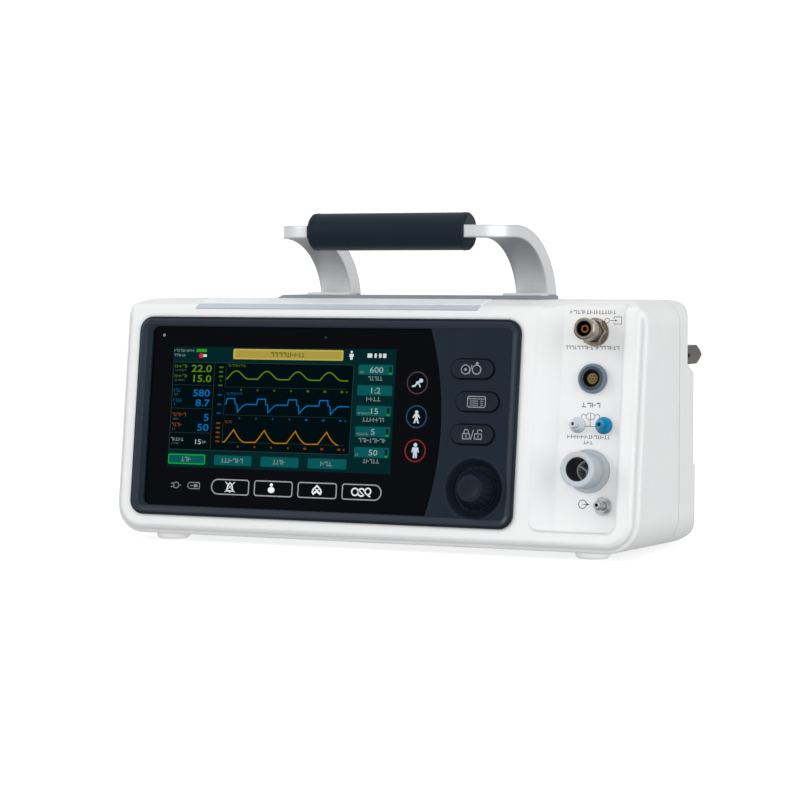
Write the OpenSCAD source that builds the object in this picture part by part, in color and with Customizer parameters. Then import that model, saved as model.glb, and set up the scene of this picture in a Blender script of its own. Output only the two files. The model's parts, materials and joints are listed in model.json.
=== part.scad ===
// Portable gas-driven mechanical ventilator with a leaning control panel.
// X runs to the right, Y to the rear, Z up. The origin is on the floor, below the middle of the part.

/* [Case] */
// Width of the case
case_w = 370; // [355:1:400]
// Depth of the upper case, from the foot of the control panel to the rear face
case_d = 113; // [110:1:130]
// Height of the case above the control panel
top_lip = 12; // [11:0.5:16]
// Height of the case below the control panel
bottom_lip = 12.5; // [11.5:0.5:15]
// Thickness of the case walls
wall = 2.6; // [2.2:0.1:3.2]
// Thickness of the front face of the case
front_wall = 3.4; // [3:0.1:4]
// Radius of the upper case corners, seen from the front
top_corner_r = 15; // [12:1:18]
// Radius of the lower case corners, seen from the front
bottom_corner_r = 20; // [16:1:22]
// Radius of the upright corners at the rear
rear_corner_r = 12; // [8:1:13]
// Width of the chamfer around the front face
front_chamfer = 5.8; // [4:0.2:6.4]
// Angle at which the front face leans back
panel_tilt = 7.4; // [6:0.2:9]
// Angle at which the underside drops towards the rear
under_slope = 2; // [1:0.1:2.2]
// Depth of the rear cover at the top, from its joint with the front case to the rear face
rear_shell_d = 26; // [24:1:28]
// Gap under the case at the foot of the panel
ground_gap = 4.9; // [4.8:0.1:7]

/* [Rear of the case] */
// Extra depth of the battery housing, low on the rear
battery_step = 13; // [11:1:18]
// Height at which the battery housing ends
battery_step_z = 114; // [111:1:116]
// Extra depth of the bumper below the battery housing
bumper_step = 4; // [2:0.5:6]
// Height at which the bumper ends
bumper_z = 54; // [48:1:60]
// Radius of the lower rear edge
rear_edge_r = 14; // [10:1:15]

/* [Control panel] */
// Width of the case between the control panel and the connector bay
bay_gap = 10.2; // [6:0.2:14]
// Height of the control panel
bezel_h = 133; // [131:0.5:140]
// Corner radius of the control panel
bezel_r = 9.5; // [6:0.5:12]
// Distance from the left side of the case to the control panel
bezel_margin = 13; // [10:0.5:15]
// How far the control panel stands proud of the case
bezel_proud = 1.2; // [0.6:0.1:2]
// Rim of the control panel beside the glass
glass_margin = 9.8; // [8:0.2:11]
// Rim of the control panel above and below the glass
glass_rim = 6.5; // [5.5:0.1:8]
// Thickness of the touch glass
glass_t = 2; // [1.6:0.1:2.6]
// Radius of the bowed right-hand edge of the glass
glass_arc_r = 200; // [170:5:260]
// Width of the strip with the keys and the knob, right of the glass
key_strip = 51.7; // [50:0.1:58]
// Distance from the left edge of the glass to the lit screen
screen_left = 15.95; // [12:0.05:20]
// Distance from the lit screen to the right-hand edge of the glass
screen_right = 34.65; // [30:0.05:40]
// Height of the lit screen
screen_h = 80.8; // [74:0.2:84]

/* [Keys and knob] */
// Length of a pill-shaped key
key_w = 28.4; // [24:0.2:30]
// Height of a pill-shaped key
key_h = 11.8; // [10:0.2:13]
// Distance between the centre lines of neighbouring keys
key_pitch = 20.8; // [19:0.2:22]
// How far a key stands proud of the control panel
key_proud = 1.3; // [0.9:0.1:2]
// Travel of a key
key_travel = 0.8; // [0.4:0.1:1]
// Gap around each key
key_gap = 0.45; // [0.3:0.05:0.6]
// Radius of the knob at its base
knob_r = 14; // [12:0.5:14.5]
// Radius of the knob at its face
knob_face_r = 8.4; // [7:0.2:10]
// Length of the knob
knob_l = 12.1; // [10:0.1:16]
// Radius of the dished seat around the knob, at the surface of the panel
dish_r = 19.4; // [18:0.2:20]
// Depth of the dished seat
dish_depth = 5.8; // [5:0.1:6.4]
// Travel of the knob when it is pressed
knob_travel = 0.6; // [0.3:0.1:0.8]
// Radius of the encoder shaft
shaft_r = 3; // [2.5:0.1:3.5]

/* [Connector bay] */
// Width of the connector bay
bay_w = 57.3; // [54:0.1:60]
// Distance from the right side of the case to the connector bay
bay_margin = 14; // [13:0.5:16]
// Depth of the connector bay
bay_d = 8; // [6:0.5:9]
// Width of the sloping left-hand side of the connector bay
bay_slope = 14; // [10:0.5:16]
// Distance from the right edge of the bay to the centre line of the ports
port_inset = 21.3; // [20:0.1:22.5]
// Outer radius of the breathing gas port, a 22 mm male fitting
insp_r = 11; // [10:0.1:12]
// Inner radius of the breathing gas port, a 15 mm female fitting
insp_bore_r = 7.5; // [6.8:0.1:8]
// Length of the breathing gas port in front of the bay floor
insp_l = 22; // [18:0.5:26]
// Height of the breathing gas port above the foot of the panel
insp_v = 39; // [37:0.5:42]
// Height of the driving gas inlet above the foot of the panel
gas_v = 126.3; // [124:0.1:128]
// Height of the sensor socket above the foot of the panel
socket_v = 97; // [94:0.5:100]
// Height of the two pressure ports above the foot of the panel
luer_v = 67.8; // [66:0.2:70]
// Height of the gas sample port above the foot of the panel
sample_v = 17.6; // [16:0.2:19]

/* [Handle] */
// Width of the handle over its two legs
handle_w = 165.3; // [150:0.5:175]
// Width of the handle's flat bar
handle_bar_w = 22.3; // [21:0.1:24]
// Thickness of the handle's flat bar at the grip
handle_bar_t = 8; // [7:0.1:9]
// Height of the top of the handle above the case
handle_rise = 48; // [42:0.5:60]
// Distance from the foot of the panel to the front edge of the handle
handle_front_y = 8; // [4:0.5:14]
// Distance from the front of the handle's feet to the rear face of the case
handle_foot_back = 26; // [25:0.5:28]
// Thickness of the handle's legs at their feet
handle_foot_t = 16; // [14:0.5:17]
// Plan radius of the handle's front corners
handle_corner_r = 28; // [24:0.5:32]
// Sideways offset of the handle from the middle of the case
handle_cx = 11.5; // [5:0.5:14]
// Radius of the soft grip
grip_r = 12.1; // [11.8:0.1:13.5]
// Length of the soft grip
grip_l = 110.7; // [100:0.1:116]

/* [Feet] */
// Radius of a front foot
front_foot_r = 11; // [9:0.5:12]
// Radius of a rear foot
rear_foot_r = 8; // [6:0.5:8.5]
// Distance of the feet from the sides of the case
foot_inset = 35; // [33:1:45]
// Distance from the foot of the panel to the front feet
front_foot_y = 20; // [18:0.5:24]
// Distance from the rear feet to the rear face of the upper case
rear_foot_back = 15; // [12:0.5:16]

/* [Fits] */
// Running clearance of shafts and plungers, on the radius
run_gap = 0.06; // [0.03:0.01:0.09]
// Gap between fixed pieces that are assembled side by side
set_gap = 0.3; // [0.2:0.05:0.4]
// Radius of a case screw
screw_r = 1.5; // [1.2:0.1:1.7]

/* [Hidden] */

round_fn = 64;
cut = 1;
far = 300;

// Heights, the joint of the case and the place of the control panel
split_y = case_d - rear_shell_d;
bezel_w = case_w - bezel_margin - bay_gap - bay_w - bay_margin;
panel_z = ground_gap + bottom_lip;
case_top_z = panel_z + bezel_h * cos(panel_tilt) + top_lip;
bezel_cx = -case_w / 2 + bezel_margin + bezel_w / 2;
function panel_y(z) = (z - panel_z) * tan(panel_tilt);
function under_z(y) = ground_gap - y * tan(under_slope);

// The two-facet bevel along the front of the top
bevel_lift = 5.3;
bevel_v = bezel_h + bevel_lift;
bevel_low = 3.2;
bevel_long = 13;
bevel_z = panel_z + bevel_v * cos(panel_tilt);
bevel_y = bevel_v * sin(panel_tilt);
bevel_rise = case_top_z - bevel_z - bevel_low;
bevel_ease = 0.5;

// Depths at the rear
battery_y = case_d + battery_step;
bumper_y = battery_y + bumper_step;
step_slope = 5;
top_edge_r = 8;

// Layers of the control panel, measured along its normal from the front face of the case
bezel_seat = -1.8;
tub_back = -6.4;
tub_edge = 5.6;
glass_front = -0.6;
glass_back = glass_front - glass_t;
lcd_t = 5;
lcd_back = glass_back - lcd_t;
lcd_border = 4;
lcd_lift = 6.3;
glass_w = bezel_w - glass_margin - key_strip;
glass_u0 = -bezel_w / 2 + glass_margin;
glass_crown = glass_u0 + glass_w;
screen_w = glass_w - screen_left - screen_right;
lcd_u = glass_u0 + screen_left + screen_w / 2;
lcd_v = bezel_h / 2 + lcd_lift;
bracket_t = 1.2;
cable_window = [60, 30];
bracket_back = lcd_back - bracket_t;
spacer_l = 7;
board_t = 1.6;
board_front = bracket_back - spacer_l;

// Keys, of which the middle one stands furthest out
key_u0 = bezel_w / 2 - 31.75;
key_bow = 4.4;
key_u = [key_u0, key_u0 + key_bow, key_u0 + key_bow / 2.2];
key_drop = 32;
key_v = bezel_h - key_drop;
keypad_u = key_u[2];
keypad_bolt = 18.5;
keypad_half = 22;
keypad_rim = 13;
key_flange = 1.2;
flange_t = 1;
flange_front = tub_back - set_gap;
flange_back = flange_front - flange_t;
switch_top = flange_back - key_travel - set_gap;
switch_h = 1.8;
switch_r = 3;
keypad_front = switch_top - switch_h;

// Knob and encoder
knob_inset = 27.15;
knob_u = bezel_w / 2 - knob_inset;
knob_v = 24.8;
dish_floor = bezel_proud - dish_depth;
dish_floor_r = dish_r - 4.2;
dish_back = dish_floor - 4.2;
knob_base = dish_floor + knob_travel + 0.4;
bushing_r = shaft_r + 1.4;
encoder_size = 13;
encoder_l = 7;
plunger_r = shaft_r + 0.8;
plunger_t = 1.2;
pilot_r = 1;
shaft_back = dish_back - 2.6;
shaft_front = knob_base + knob_l - 2.5;

// Connector bay
bay_right = case_w / 2 - bay_margin - bezel_cx;
bay_left = bay_right - bay_w;
bay_floor = -bay_d;
bay_back = bay_floor - wall;
bay_r = 7;
port_u = bay_right - port_inset;
luer_du = 8.7;
sample_du = 10.6;

// Gas block behind the connector bay
block_front = -30;
block_t = 22;
block_back = block_front - block_t;
block_w = 40;
block_v0 = 9;
block_v1 = 134;
block_post_r = 4;
block_hole_u = block_w / 2 - 4.5;

// Handle
handle_foot_y = case_d - handle_foot_back;
handle_y1 = handle_foot_y + handle_foot_t;
handle_leg_x = (handle_w - handle_bar_w) / 2;
handle_bolt_y = handle_foot_y + handle_foot_t / 2;
bar_top = case_top_z + handle_rise;
bar_z = bar_top - handle_bar_t / 2;
grip_y = handle_front_y + handle_bar_w / 2;
neck_inset = 2.2;
plate_t = 2.4;
plate_tongue = 26.85;
plate_rim = 0.6;
plate_x0 = handle_cx - handle_w / 2 - plate_tongue;
plate_x1 = handle_cx + handle_w / 2 + plate_rim;
plate_y0 = handle_foot_y - 15;
plate_y1 = handle_y1 + 1.5;

// Battery bay
pack_w = 150;
pack_h = 70;
pack_z = 28;
pack_t = 24;
door_w = pack_w + 12;
door_h = pack_h + 8;
door_z = pack_z - 4;
door_t = 2.2;
door_bolt_x = door_w / 2 - 3;
door_sink = 0.9;
groove_r = 7;
pack_y1 = battery_y - wall - 1.4;

// Floor plate and electronics
chassis_z = ground_gap + wall + 6;
chassis_t = 1.5;
chassis_d = 38;
chassis_y1 = split_y - 7;
chassis_y0 = chassis_y1 - chassis_d;
chassis_half = case_w / 2 - 25;
board_post_h = 6;

// Fan
fan_size = 40;
fan_t = 10;
fan_inset = 67;
fan_gap = 3;
fan_x = -case_w / 2 + fan_inset;
fan_z = case_top_z - wall - fan_size / 2 - 2;
fan_y1 = case_d - wall;
fan_bore_r = 18.8;
fan_hub_r = 8;
fan_pin_r = 1.5;

// Rear gas fitting
rear_gas_x = case_w / 2 - rear_corner_r;
rear_gas_z = 124.5;
rear_gas_r = 6.3;
rear_gas_l = 38;
rear_nut_r = 7.2;
rear_nut_l = 27;
rear_nut_chamfer = 2.5;
rear_gas_end = case_d + rear_gas_l;

// Power inlet, low on the rear
inlet_inset = 45;
inlet_x = -case_w / 2 + inlet_inset;
inlet_z = 82;
inlet_w = 28;
inlet_h = 21;

// Feet and case screws
foot_x = case_w / 2 - foot_inset;
rear_foot_y = case_d - rear_foot_back;
screw_x = case_w / 2 - wall - 3.6;
screw_post_r = 4.2;
screw_z = [25, case_top_z - 14.5];
screw_head_r = 2.9;
screw_head_t = 1.6;
screw_floor = 12;
screw_l = 24;

// Foremost point of the part: the knob's face or the breathing gas port, whichever stands out more
knob_face_w = knob_base + knob_l;
front_y = min(
    knob_v * sin(panel_tilt) - knob_face_w * cos(panel_tilt) - knob_face_r * sin(panel_tilt),
    insp_v * sin(panel_tilt) - (bay_floor + insp_l) * cos(panel_tilt) - insp_r * sin(panel_tilt)
);
mid_y = (front_y + rear_gas_end) / 2;

// ---------- helpers ----------

// Moves the case frame, which starts at the foot of the panel, to the part's origin
module place() translate([0, -mid_y, 0]) children();

// Local X along the panel, Y up the panel, Z out of the panel
module on_panel(u = 0, v = 0, w = 0)
    translate([bezel_cx, 0, panel_z]) rotate([90 - panel_tilt, 0, 0]) translate([u, v, w]) children();

module rod(r, w0, w1, fn = round_fn) translate([0, 0, w0]) cylinder(r = r, h = w1 - w0, $fn = fn);

module taper(r0, r1, w0, w1) translate([0, 0, w0]) cylinder(r1 = r0, r2 = r1, h = w1 - w0, $fn = round_fn);

module pipe(r, bore, w0, w1) difference() {
    rod(r, w0, w1);
    rod(bore, w0 - cut, w1 + cut);
}

module block(x, y, z) translate([x[0], y[0], z[0]]) cube([x[1] - x[0], y[1] - y[0], z[1] - z[0]]);

// Rectangle with round corners, centred on X, from Y = 0 up
module round_rect(w, h, r) {
    translate([-w / 2 + r, 0]) square([w - 2 * r, h]);
    translate([-w / 2, r]) square([w, h - 2 * r]);
    for (x = [-1, 1], y = [r, h - r]) translate([x * (w / 2 - r), y]) circle(r = r, $fn = round_fn);
}

module pill(w, h) round_rect(w, h, h / 2 - 0.01);

// Cylinder along Y
module rod_y(x, z, r, y0, y1, fn = round_fn)
    translate([x, y1, z]) rotate([90, 0, 0]) cylinder(r = r, h = y1 - y0, $fn = fn);

// Cylinder along X
module rod_x(y, z, r, x0, x1, fn = round_fn)
    translate([x0, y, z]) rotate([0, 90, 0]) cylinder(r = r, h = x1 - x0, $fn = fn);

// Outline in Y and Z, drawn out along X
module along_x(x0, x1) translate([x0, 0, 0]) rotate([90, 0, 90]) linear_extrude(x1 - x0) children();

// ---------- case shape ----------

// Lower corners, along the sloping underside
module lower_block(inset) translate([0, 0, ground_gap]) rotate([-under_slope, 0, 0])
    translate([0, far, inset]) rotate([90, 0, 0]) linear_extrude(2 * far)
        round_rect(case_w - 2 * inset, far, bottom_corner_r - inset);

// Upper corners, along the flat top
module upper_block(inset) translate([0, far, case_top_z - inset - far]) rotate([90, 0, 0])
    linear_extrude(2 * far) round_rect(case_w - 2 * inset, far, top_corner_r - inset);

// Front and top, seen from the side
module front_profile(inset, front) {
    lean = tan(panel_tilt);
    y_front = front / cos(panel_tilt);
    low = -panel_z - far / 10;
    polygon([
        [low * lean + y_front, panel_z + low],
        [bevel_y + y_front - inset * lean, bevel_z - inset],
        [bevel_y + bevel_low + inset, bevel_z + bevel_low - inset],
        [bevel_y + bevel_low + bevel_long + inset, case_top_z - inset],
        [far, case_top_z - inset],
        [far, panel_z + low]
    ]);
}

// One step of the rear: a block with upright round corners that ends at a given depth and height
module rear_step(depth, top_z, inset, round_top) intersection() {
    translate([0, depth - inset - far, -far / 4]) linear_extrude(2 * far)
        round_rect(case_w - 2 * inset, far, rear_corner_r - inset);
    along_x(-far, far) difference() {
        polygon([
            [-far, -far / 4], [depth - inset, -far / 4], [depth - inset, top_z - step_slope - inset],
            [case_d - 2 * step_slope - inset, top_z + step_slope - inset], [-far, top_z + step_slope - inset]
        ]);
        if (round_top) translate([depth - inset - top_edge_r, case_top_z - inset - top_edge_r])
            difference() {
                square(far);
                circle(r = top_edge_r, $fn = round_fn);
            }
    }
}

// Rounds the lower rear edge
module rear_edge_cut(inset) {
    y = bumper_y - inset - rear_edge_r;
    z = under_z(y) + inset + rear_edge_r;
    along_x(-far, far) difference() {
        translate([y, z - far]) square(far);
        translate([y, z]) circle(r = rear_edge_r, $fn = round_fn);
    }
}

module case_solid(inset, front) difference() {
    intersection() {
        lower_block(inset);
        upper_block(inset);
        along_x(-far, far) front_profile(inset, front);
        union() {
            rear_step(case_d, case_top_z + far, inset, true);
            rear_step(battery_y, battery_step_z, inset, false);
            rear_step(bumper_y, bumper_z, inset, false);
        }
    }
    rear_edge_cut(inset);
}

// Frustum that chamfers the edge of the front face, and everything further back
module front_bevel() {
    v0 = -bottom_lip / cos(panel_tilt) + front_chamfer;
    deep = 30;
    wide = case_w - 2 * front_chamfer;
    r0 = bottom_corner_r - front_chamfer + bevel_ease;
    on_panel(-bezel_cx, 0, 0) {
        hull() {
            translate([0, v0, -0.01]) linear_extrude(0.01) front_outline(wide, r0);
            translate([0, v0 - deep, -deep]) linear_extrude(0.01) front_outline(wide + 2 * deep, r0 + deep);
        }
        translate([-far, -far, -2 * far]) cube([2 * far, 2 * far, 2 * far - deep + 0.01]);
    }
}

module front_outline(w, r) {
    translate([-w / 2, r]) square([w, case_top_z + 2 * r]);
    for (x = [-1, 1]) translate([x * (w / 2 - r), r]) circle(r = r, $fn = 48);
}

// The space that the connector bay takes, in the panel's own directions
module bay_space(grow, top) intersection() {
    translate([0, top, 0]) rotate([90, 0, 0]) linear_extrude(top + far) polygon([
        [bay_left - grow, far / 10], [bay_left - grow, grow > 0 ? -front_wall / 2 : 0],
        [bay_left + bay_slope - grow, bay_floor - grow], [bay_right + grow, bay_floor - grow],
        [bay_right + grow, far / 10]
    ]);
    translate([(bay_left + bay_right) / 2, -grow, -far / 2]) linear_extrude(far)
        round_rect(bay_w + 2 * grow, far, bay_r + grow);
}

module front_half() translate([-far, -far, -far]) cube([2 * far, far + split_y, 3 * far]);

module case_screw_posts(y0, y1)
    for (x = [-1, 1], z = screw_z) rod_y(x * screw_x, z, screw_post_r, y0, y1);

module at_feet() {
    for (x = [-1, 1]) translate([x * foot_x, front_foot_y, 0]) children(0);
    for (x = [-1, 1]) translate([x * foot_x, rear_foot_y, 0]) children(1);
}

foot_seat = 1.6;
front_seat_z = under_z(front_foot_y) + foot_seat;
rear_seat_z = under_z(rear_foot_y) + foot_seat;

// ---------- casings ----------

module bezel_outline(inset) translate([0, inset])
    round_rect(bezel_w - 2 * inset, bezel_h - 2 * inset, bezel_r - inset);

module front_case() place() color("white") difference() {
    union() {
        difference() {
            intersection() {
                case_solid(0, 0);
                front_bevel();
                front_half();
            }
            difference() {
                case_solid(wall, front_wall);
                // Walls of the connector bay
                on_panel() bay_space(wall, far);
            }
        }
        // Bosses that the case parts, the floor plate and the gas block are screwed to
        intersection() {
            case_screw_posts(30, split_y);
            case_solid(wall / 2, front_wall / 2);
        }
        intersection() {
            for (x = [-1, 1], y = chassis_bolts_y)
                translate([x * (chassis_half - 8), y, 0]) rod(4, under_z(y) + wall / 2, chassis_z);
            case_solid(wall / 2, front_wall / 2);
        }
        on_panel() for (x = [-1, 1], v = block_bolts_v)
            translate([port_u + x * block_hole_u, v, 0]) rod(block_post_r, block_front, bay_floor - wall / 2);
        // Seats of the front feet
        intersection() {
            case_solid(wall / 2, front_wall / 2);
            for (x = [-1, 1]) translate([x * foot_x, front_foot_y, 0])
                rod(front_foot_r + 2, ground_gap - 4, front_seat_z + wall);
        }
        // Saddle of the inlet filter
        block([filter_x + filter_r - 2, case_w / 2 - wall / 2], [filter_y0 + 2, split_y - 4],
            [rear_gas_z - 3, rear_gas_z + 3]);
    }
    rod_y(filter_x, rear_gas_z, filter_r, filter_y0, split_y + cut);
    // Seat and opening of the control panel
    on_panel(0, 0, bezel_seat) linear_extrude(far) bezel_outline(0);
    on_panel(0, 0, -far / 10) linear_extrude(far) bezel_outline(tub_edge - set_gap);
    on_panel() bay_space(0, far);
    // Port holes in the bay floor
    on_panel() {
        at_port(0, gas_v) rod(gas_tail_r, -far / 8, 0);
        at_port(0, socket_v) rod(socket_tail_r, -far / 8, 0);
        for (x = [-1, 1]) at_port(x * luer_du, luer_v) rod(luer_tail_r, -far / 8, 0);
        at_port(0, insp_v) rod(insp_tail_r, -far / 8, 0);
        at_port(sample_du, sample_v) rod(luer_tail_r, -far / 8, 0);
        for (x = [-1, 1], v = block_bolts_v)
            translate([port_u + x * block_hole_u, v, 0]) rod(screw_r, block_front - cut, block_front + 9);
    }
    for (x = [-1, 1], z = screw_z)
        rod_y(x * screw_x, z, screw_r, split_y - screw_l + screw_floor - 2, split_y + cut);
    for (x = [-1, 1], y = chassis_bolts_y)
        translate([x * (chassis_half - 8), y, 0]) rod(screw_r, chassis_z - 4, chassis_z + cut);
    for (x = [-1, 1]) translate([x * foot_x, front_foot_y, 0]) rod(front_foot_r, -cut, front_seat_z);
    // Sound holes in front of the speaker, in rings
    for (ring = [1:2], a = [0:60 / ring:359])
        side_hole(speaker_y + ring * sound_pitch * cos(a), speaker_z + ring * sound_pitch * sin(a));
    side_hole(speaker_y, speaker_z);
    // Air slots low on the left side
    for (i = [0:5]) block([-case_w / 2 - cut, -case_w / 2 + wall + cut],
        [air_y0 + 2 * i * slot_w, air_y0 + (2 * i + 1) * slot_w], [air_z0, air_z0 + air_l]);
}

sound_pitch = 6;
sound_r = 1.3;
slot_w = 3;
air_y0 = chassis_y0 - 2;
air_z0 = 34;
air_l = 22;
outlet_x0 = case_w / 2 - 115;
outlet_z0 = battery_step_z + 14;
outlet_l = 20;

module side_hole(y, z) rod_x(y, z, sound_r, -case_w / 2 - cut, -case_w / 2 + wall + cut, 24);

module rear_cover() place() color("whitesmoke") difference() {
    union() {
        difference() {
            case_solid(0, 0);
            case_solid(wall, front_wall);
            front_half();
        }
        intersection() {
            union() {
                case_screw_posts(split_y, far / 2);
                // Shelf ribs and stops of the battery
                for (x = [-pack_w / 2 + 6, 0, pack_w / 2 - 6])
                    block([x - 1, x + 1], [pack_y1 - pack_t, battery_y], [0, pack_z]);
                for (x = [-pack_w / 2 - 3, pack_w / 2 + 1])
                    block([x, x + 2], [pack_y1 - pack_t, battery_y], [0, pack_z + 12]);
            }
            case_solid(wall / 2, front_wall);
        }
        // Seats of the rear feet
        for (x = [-1, 1]) translate([x * foot_x, rear_foot_y, 0])
            rod(rear_foot_r + 2, under_z(rear_foot_y) + wall / 2, rear_seat_z + wall);
        // Boss of the rear gas fitting
        rod_y(rear_gas_x, rear_gas_z, gas_boss_r, gas_boss_y0, gas_boss_y1);
        // Posts that hold the fan
        for (x = [-1, 1], z = [-1, 1]) translate([fan_x + x * fan_bolt, 0, fan_z + z * fan_bolt])
            rod_y(0, 0, 3.2, fan_y1 - fan_gap, fan_y1 + wall / 2);
    }
    // Opening of the battery bay and the seat of its door
    block([-door_w / 2, door_w / 2], [battery_y - door_t, far], [door_z, door_z + door_h]);
    block([-pack_w / 2 - 1, pack_w / 2 + 1], [battery_y - wall - cut, far],
        [door_z + 3, door_z + door_h - 3]);
    for (x = [-1, 1])
        rod_y(x * door_bolt_x, door_z + door_h / 2, screw_r, battery_y - wall - 5, battery_y);
    // Screw holes
    for (x = [-1, 1], z = screw_z) {
        rod_y(x * screw_x, z, screw_r + 0.1, split_y - cut, far / 2);
        rod_y(x * screw_x, z, screw_head_r + 0.2, split_y + screw_floor, far / 2);
    }
    for (x = [-1, 1]) translate([x * foot_x, rear_foot_y, 0]) rod(rear_foot_r, -far / 10, rear_seat_z);
    // Fan slots
    for (i = [-3:3]) {
        half = sqrt(pow(fan_bore_r - 1, 2) - pow(i * fan_slot_pitch, 2));
        z = fan_z + i * fan_slot_pitch;
        block([fan_x - half, fan_x + half], [case_d - wall - cut, far],
            [z - fan_slot_half, z + fan_slot_half]);
    }
    for (x = [-1, 1], z = [-1, 1]) translate([fan_x + x * fan_bolt, 0, fan_z + z * fan_bolt])
        rod_y(0, 0, 1, fan_y1 - 4, fan_y1 - 0.4);
    // Outlet slots on the right of the rear
    for (i = [0:6]) block([outlet_x0 + i * (2 * slot_w + 1), outlet_x0 + i * (2 * slot_w + 1) + slot_w],
        [case_d - wall - cut, far], [outlet_z0, outlet_z0 + outlet_l]);
    // Power inlet and rear gas fitting
    block([inlet_x - inlet_w / 2, inlet_x + inlet_w / 2], [battery_y - wall - cut, far],
        [inlet_z - inlet_h / 2, inlet_z + inlet_h / 2]);
    rod_y(rear_gas_x, rear_gas_z, rear_tail_r, gas_boss_y0 - cut, far);
    // Holes of the handle screws in the top
    handle_screw_holes(case_top_z - wall - cut, case_top_z + cut, screw_r + 0.1);
}

module battery_door() place() color("gainsboro") {
    difference() {
        block([-door_w / 2 + set_gap, door_w / 2 - set_gap], [battery_y - door_t, battery_y],
            [door_z + set_gap, door_z + door_h - set_gap]);
        for (x = [-1, 1]) translate([x * door_bolt_x, 0, door_z + door_h / 2]) {
            rod_y(0, 0, screw_r + 0.1, battery_y - door_t - cut, battery_y + cut);
            rod_y(0, 0, screw_head_r + 0.2, battery_y - door_sink, battery_y + cut);
        }
        // Finger groove
        rod_x(battery_y + groove_r - 1, door_z + door_h - 12, groove_r, -22, 22);
    }
}

module battery_pack() place() color("dimgray") {
    block([-pack_w / 2, pack_w / 2], [pack_y1 - pack_t, pack_y1], [pack_z, pack_z + pack_h]);
    // Rib that the door presses on, and the terminal block
    block([-pack_w / 2 + 10, pack_w / 2 - 10], [pack_y1, battery_y - door_t], [pack_z + 20, pack_z + 24]);
    block([pack_w / 2 - 40, pack_w / 2 - 16], [pack_y1 - pack_t, pack_y1 - pack_t + 6],
        [pack_z + pack_h, pack_z + pack_h + 4]);
}

// ---------- control panel ----------

module glass_outline(inset) intersection() {
    translate([glass_u0 + glass_w / 2 + 10, glass_rim + inset])
        round_rect(glass_w + 20 - 2 * inset, bezel_h - 2 * glass_rim - 2 * inset, 5);
    translate([glass_crown - glass_arc_r, bezel_h / 2 - 3]) circle(r = glass_arc_r - inset, $fn = 240);
}

module key_holes() for (i = [0:2]) translate([key_u[i], key_v - i * key_pitch - key_h / 2 - key_gap])
    pill(key_w + 2 * key_gap, key_h + 2 * key_gap);

module control_bezel() place() color([0.15, 0.19, 0.24]) on_panel() difference() {
    union() {
        // Front plate with a bevelled edge
        translate([0, 0, bezel_seat]) linear_extrude(-bezel_seat + bezel_proud - 0.8) bezel_outline(0.05);
        translate([0, 0, bezel_seat]) linear_extrude(-bezel_seat + bezel_proud) bezel_outline(0.9);
        // Tub behind it, in the opening of the case
        translate([0, 0, tub_back]) linear_extrude(bezel_seat - tub_back + cut / 2) bezel_outline(tub_edge);
        // Back of the dished seat
        intersection() {
            translate([knob_u, knob_v, 0]) rod(dish_r + 2, dish_back, bezel_seat);
            translate([0, 0, dish_back]) linear_extrude(far) bezel_outline(tub_edge);
        }
        // Posts of the keypad board and the display bracket
        for (p = keypad_posts) translate(p) rod(2.6, keypad_front, tub_back + cut);
        for (p = bracket_posts) translate(p) rod(3, lcd_back, tub_back + cut);
    }
    // Glass seat and the window behind it
    translate([0, 0, glass_back]) linear_extrude(far) glass_outline(0);
    translate([lcd_u, lcd_v - screen_h / 2 - lcd_border - set_gap, -far / 10]) linear_extrude(far)
        translate([-screen_w / 2 - lcd_border - set_gap, 0])
            square([screen_w + 2 * (lcd_border + set_gap), screen_h + 2 * (lcd_border + set_gap)]);
    translate([0, 0, -far / 10]) linear_extrude(far) key_holes();
    // Dished seat and the encoder's hole
    translate([knob_u, knob_v, 0]) {
        taper(dish_floor_r, dish_r, dish_floor, bezel_proud);
        rod(dish_r, bezel_proud, bezel_proud + cut);
        rod(bushing_r, dish_back - cut, dish_floor + cut);
    }
    for (p = keypad_posts) translate(p) rod(0.9, keypad_front - cut, tub_back);
    for (p = bracket_posts) translate(p) rod(1, lcd_back - cut, tub_back + 3);
}

module display_glass() place() color([0.03, 0.04, 0.05]) on_panel(0, 0, glass_back)
    linear_extrude(glass_t) glass_outline(0.15);

module lcd_module() place() color("silver") on_panel(lcd_u, lcd_v - screen_h / 2 - lcd_border, lcd_back) {
    linear_extrude(lcd_t) translate([-screen_w / 2 - lcd_border, 0])
        square([screen_w + 2 * lcd_border, screen_h + 2 * lcd_border]);
}

bracket_posts = [for (x = [-1, 1], y = [-1, 1])
    [lcd_u + x * (screen_w / 2 + lcd_border + 5), lcd_v + y * (screen_h / 2 - 4), 0]];

// Sheet metal frame that clamps the display, with the spacers of the main board
module display_bracket() place() color("lightgray") on_panel() difference() {
    union() {
        translate([lcd_u, lcd_v, bracket_back + bracket_t / 2])
            cube([screen_w + 2 * lcd_border + 18, screen_h + 2 * lcd_border - 4, bracket_t], center = true);
        for (p = main_board_posts) translate(p) rod(2.5, board_front, bracket_back + bracket_t / 2);
    }
    for (p = bracket_posts) translate(p) rod(1.2, bracket_back - cut, lcd_back + cut);
    for (p = main_board_posts) translate(p) rod(1, board_front - cut, board_front + 5);
    // Cable window
    translate([lcd_u, lcd_v, bracket_back])
        cube([cable_window[0], cable_window[1], 4 * bracket_t], center = true);
}

board_half_u = screen_w / 2 + 2.3;
board_half_v = screen_h / 2 - 0.4;
board_bolt_u = board_half_u - 9;
board_bolt_v = board_half_v - 6;
board_back = board_front - board_t;
chip = 36;
plug = [18, 8, 6];
main_board_posts = [for (x = [-1, 1], y = [-1, 1]) [lcd_u + x * board_bolt_u, lcd_v + y * board_bolt_v, 0]];

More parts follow.
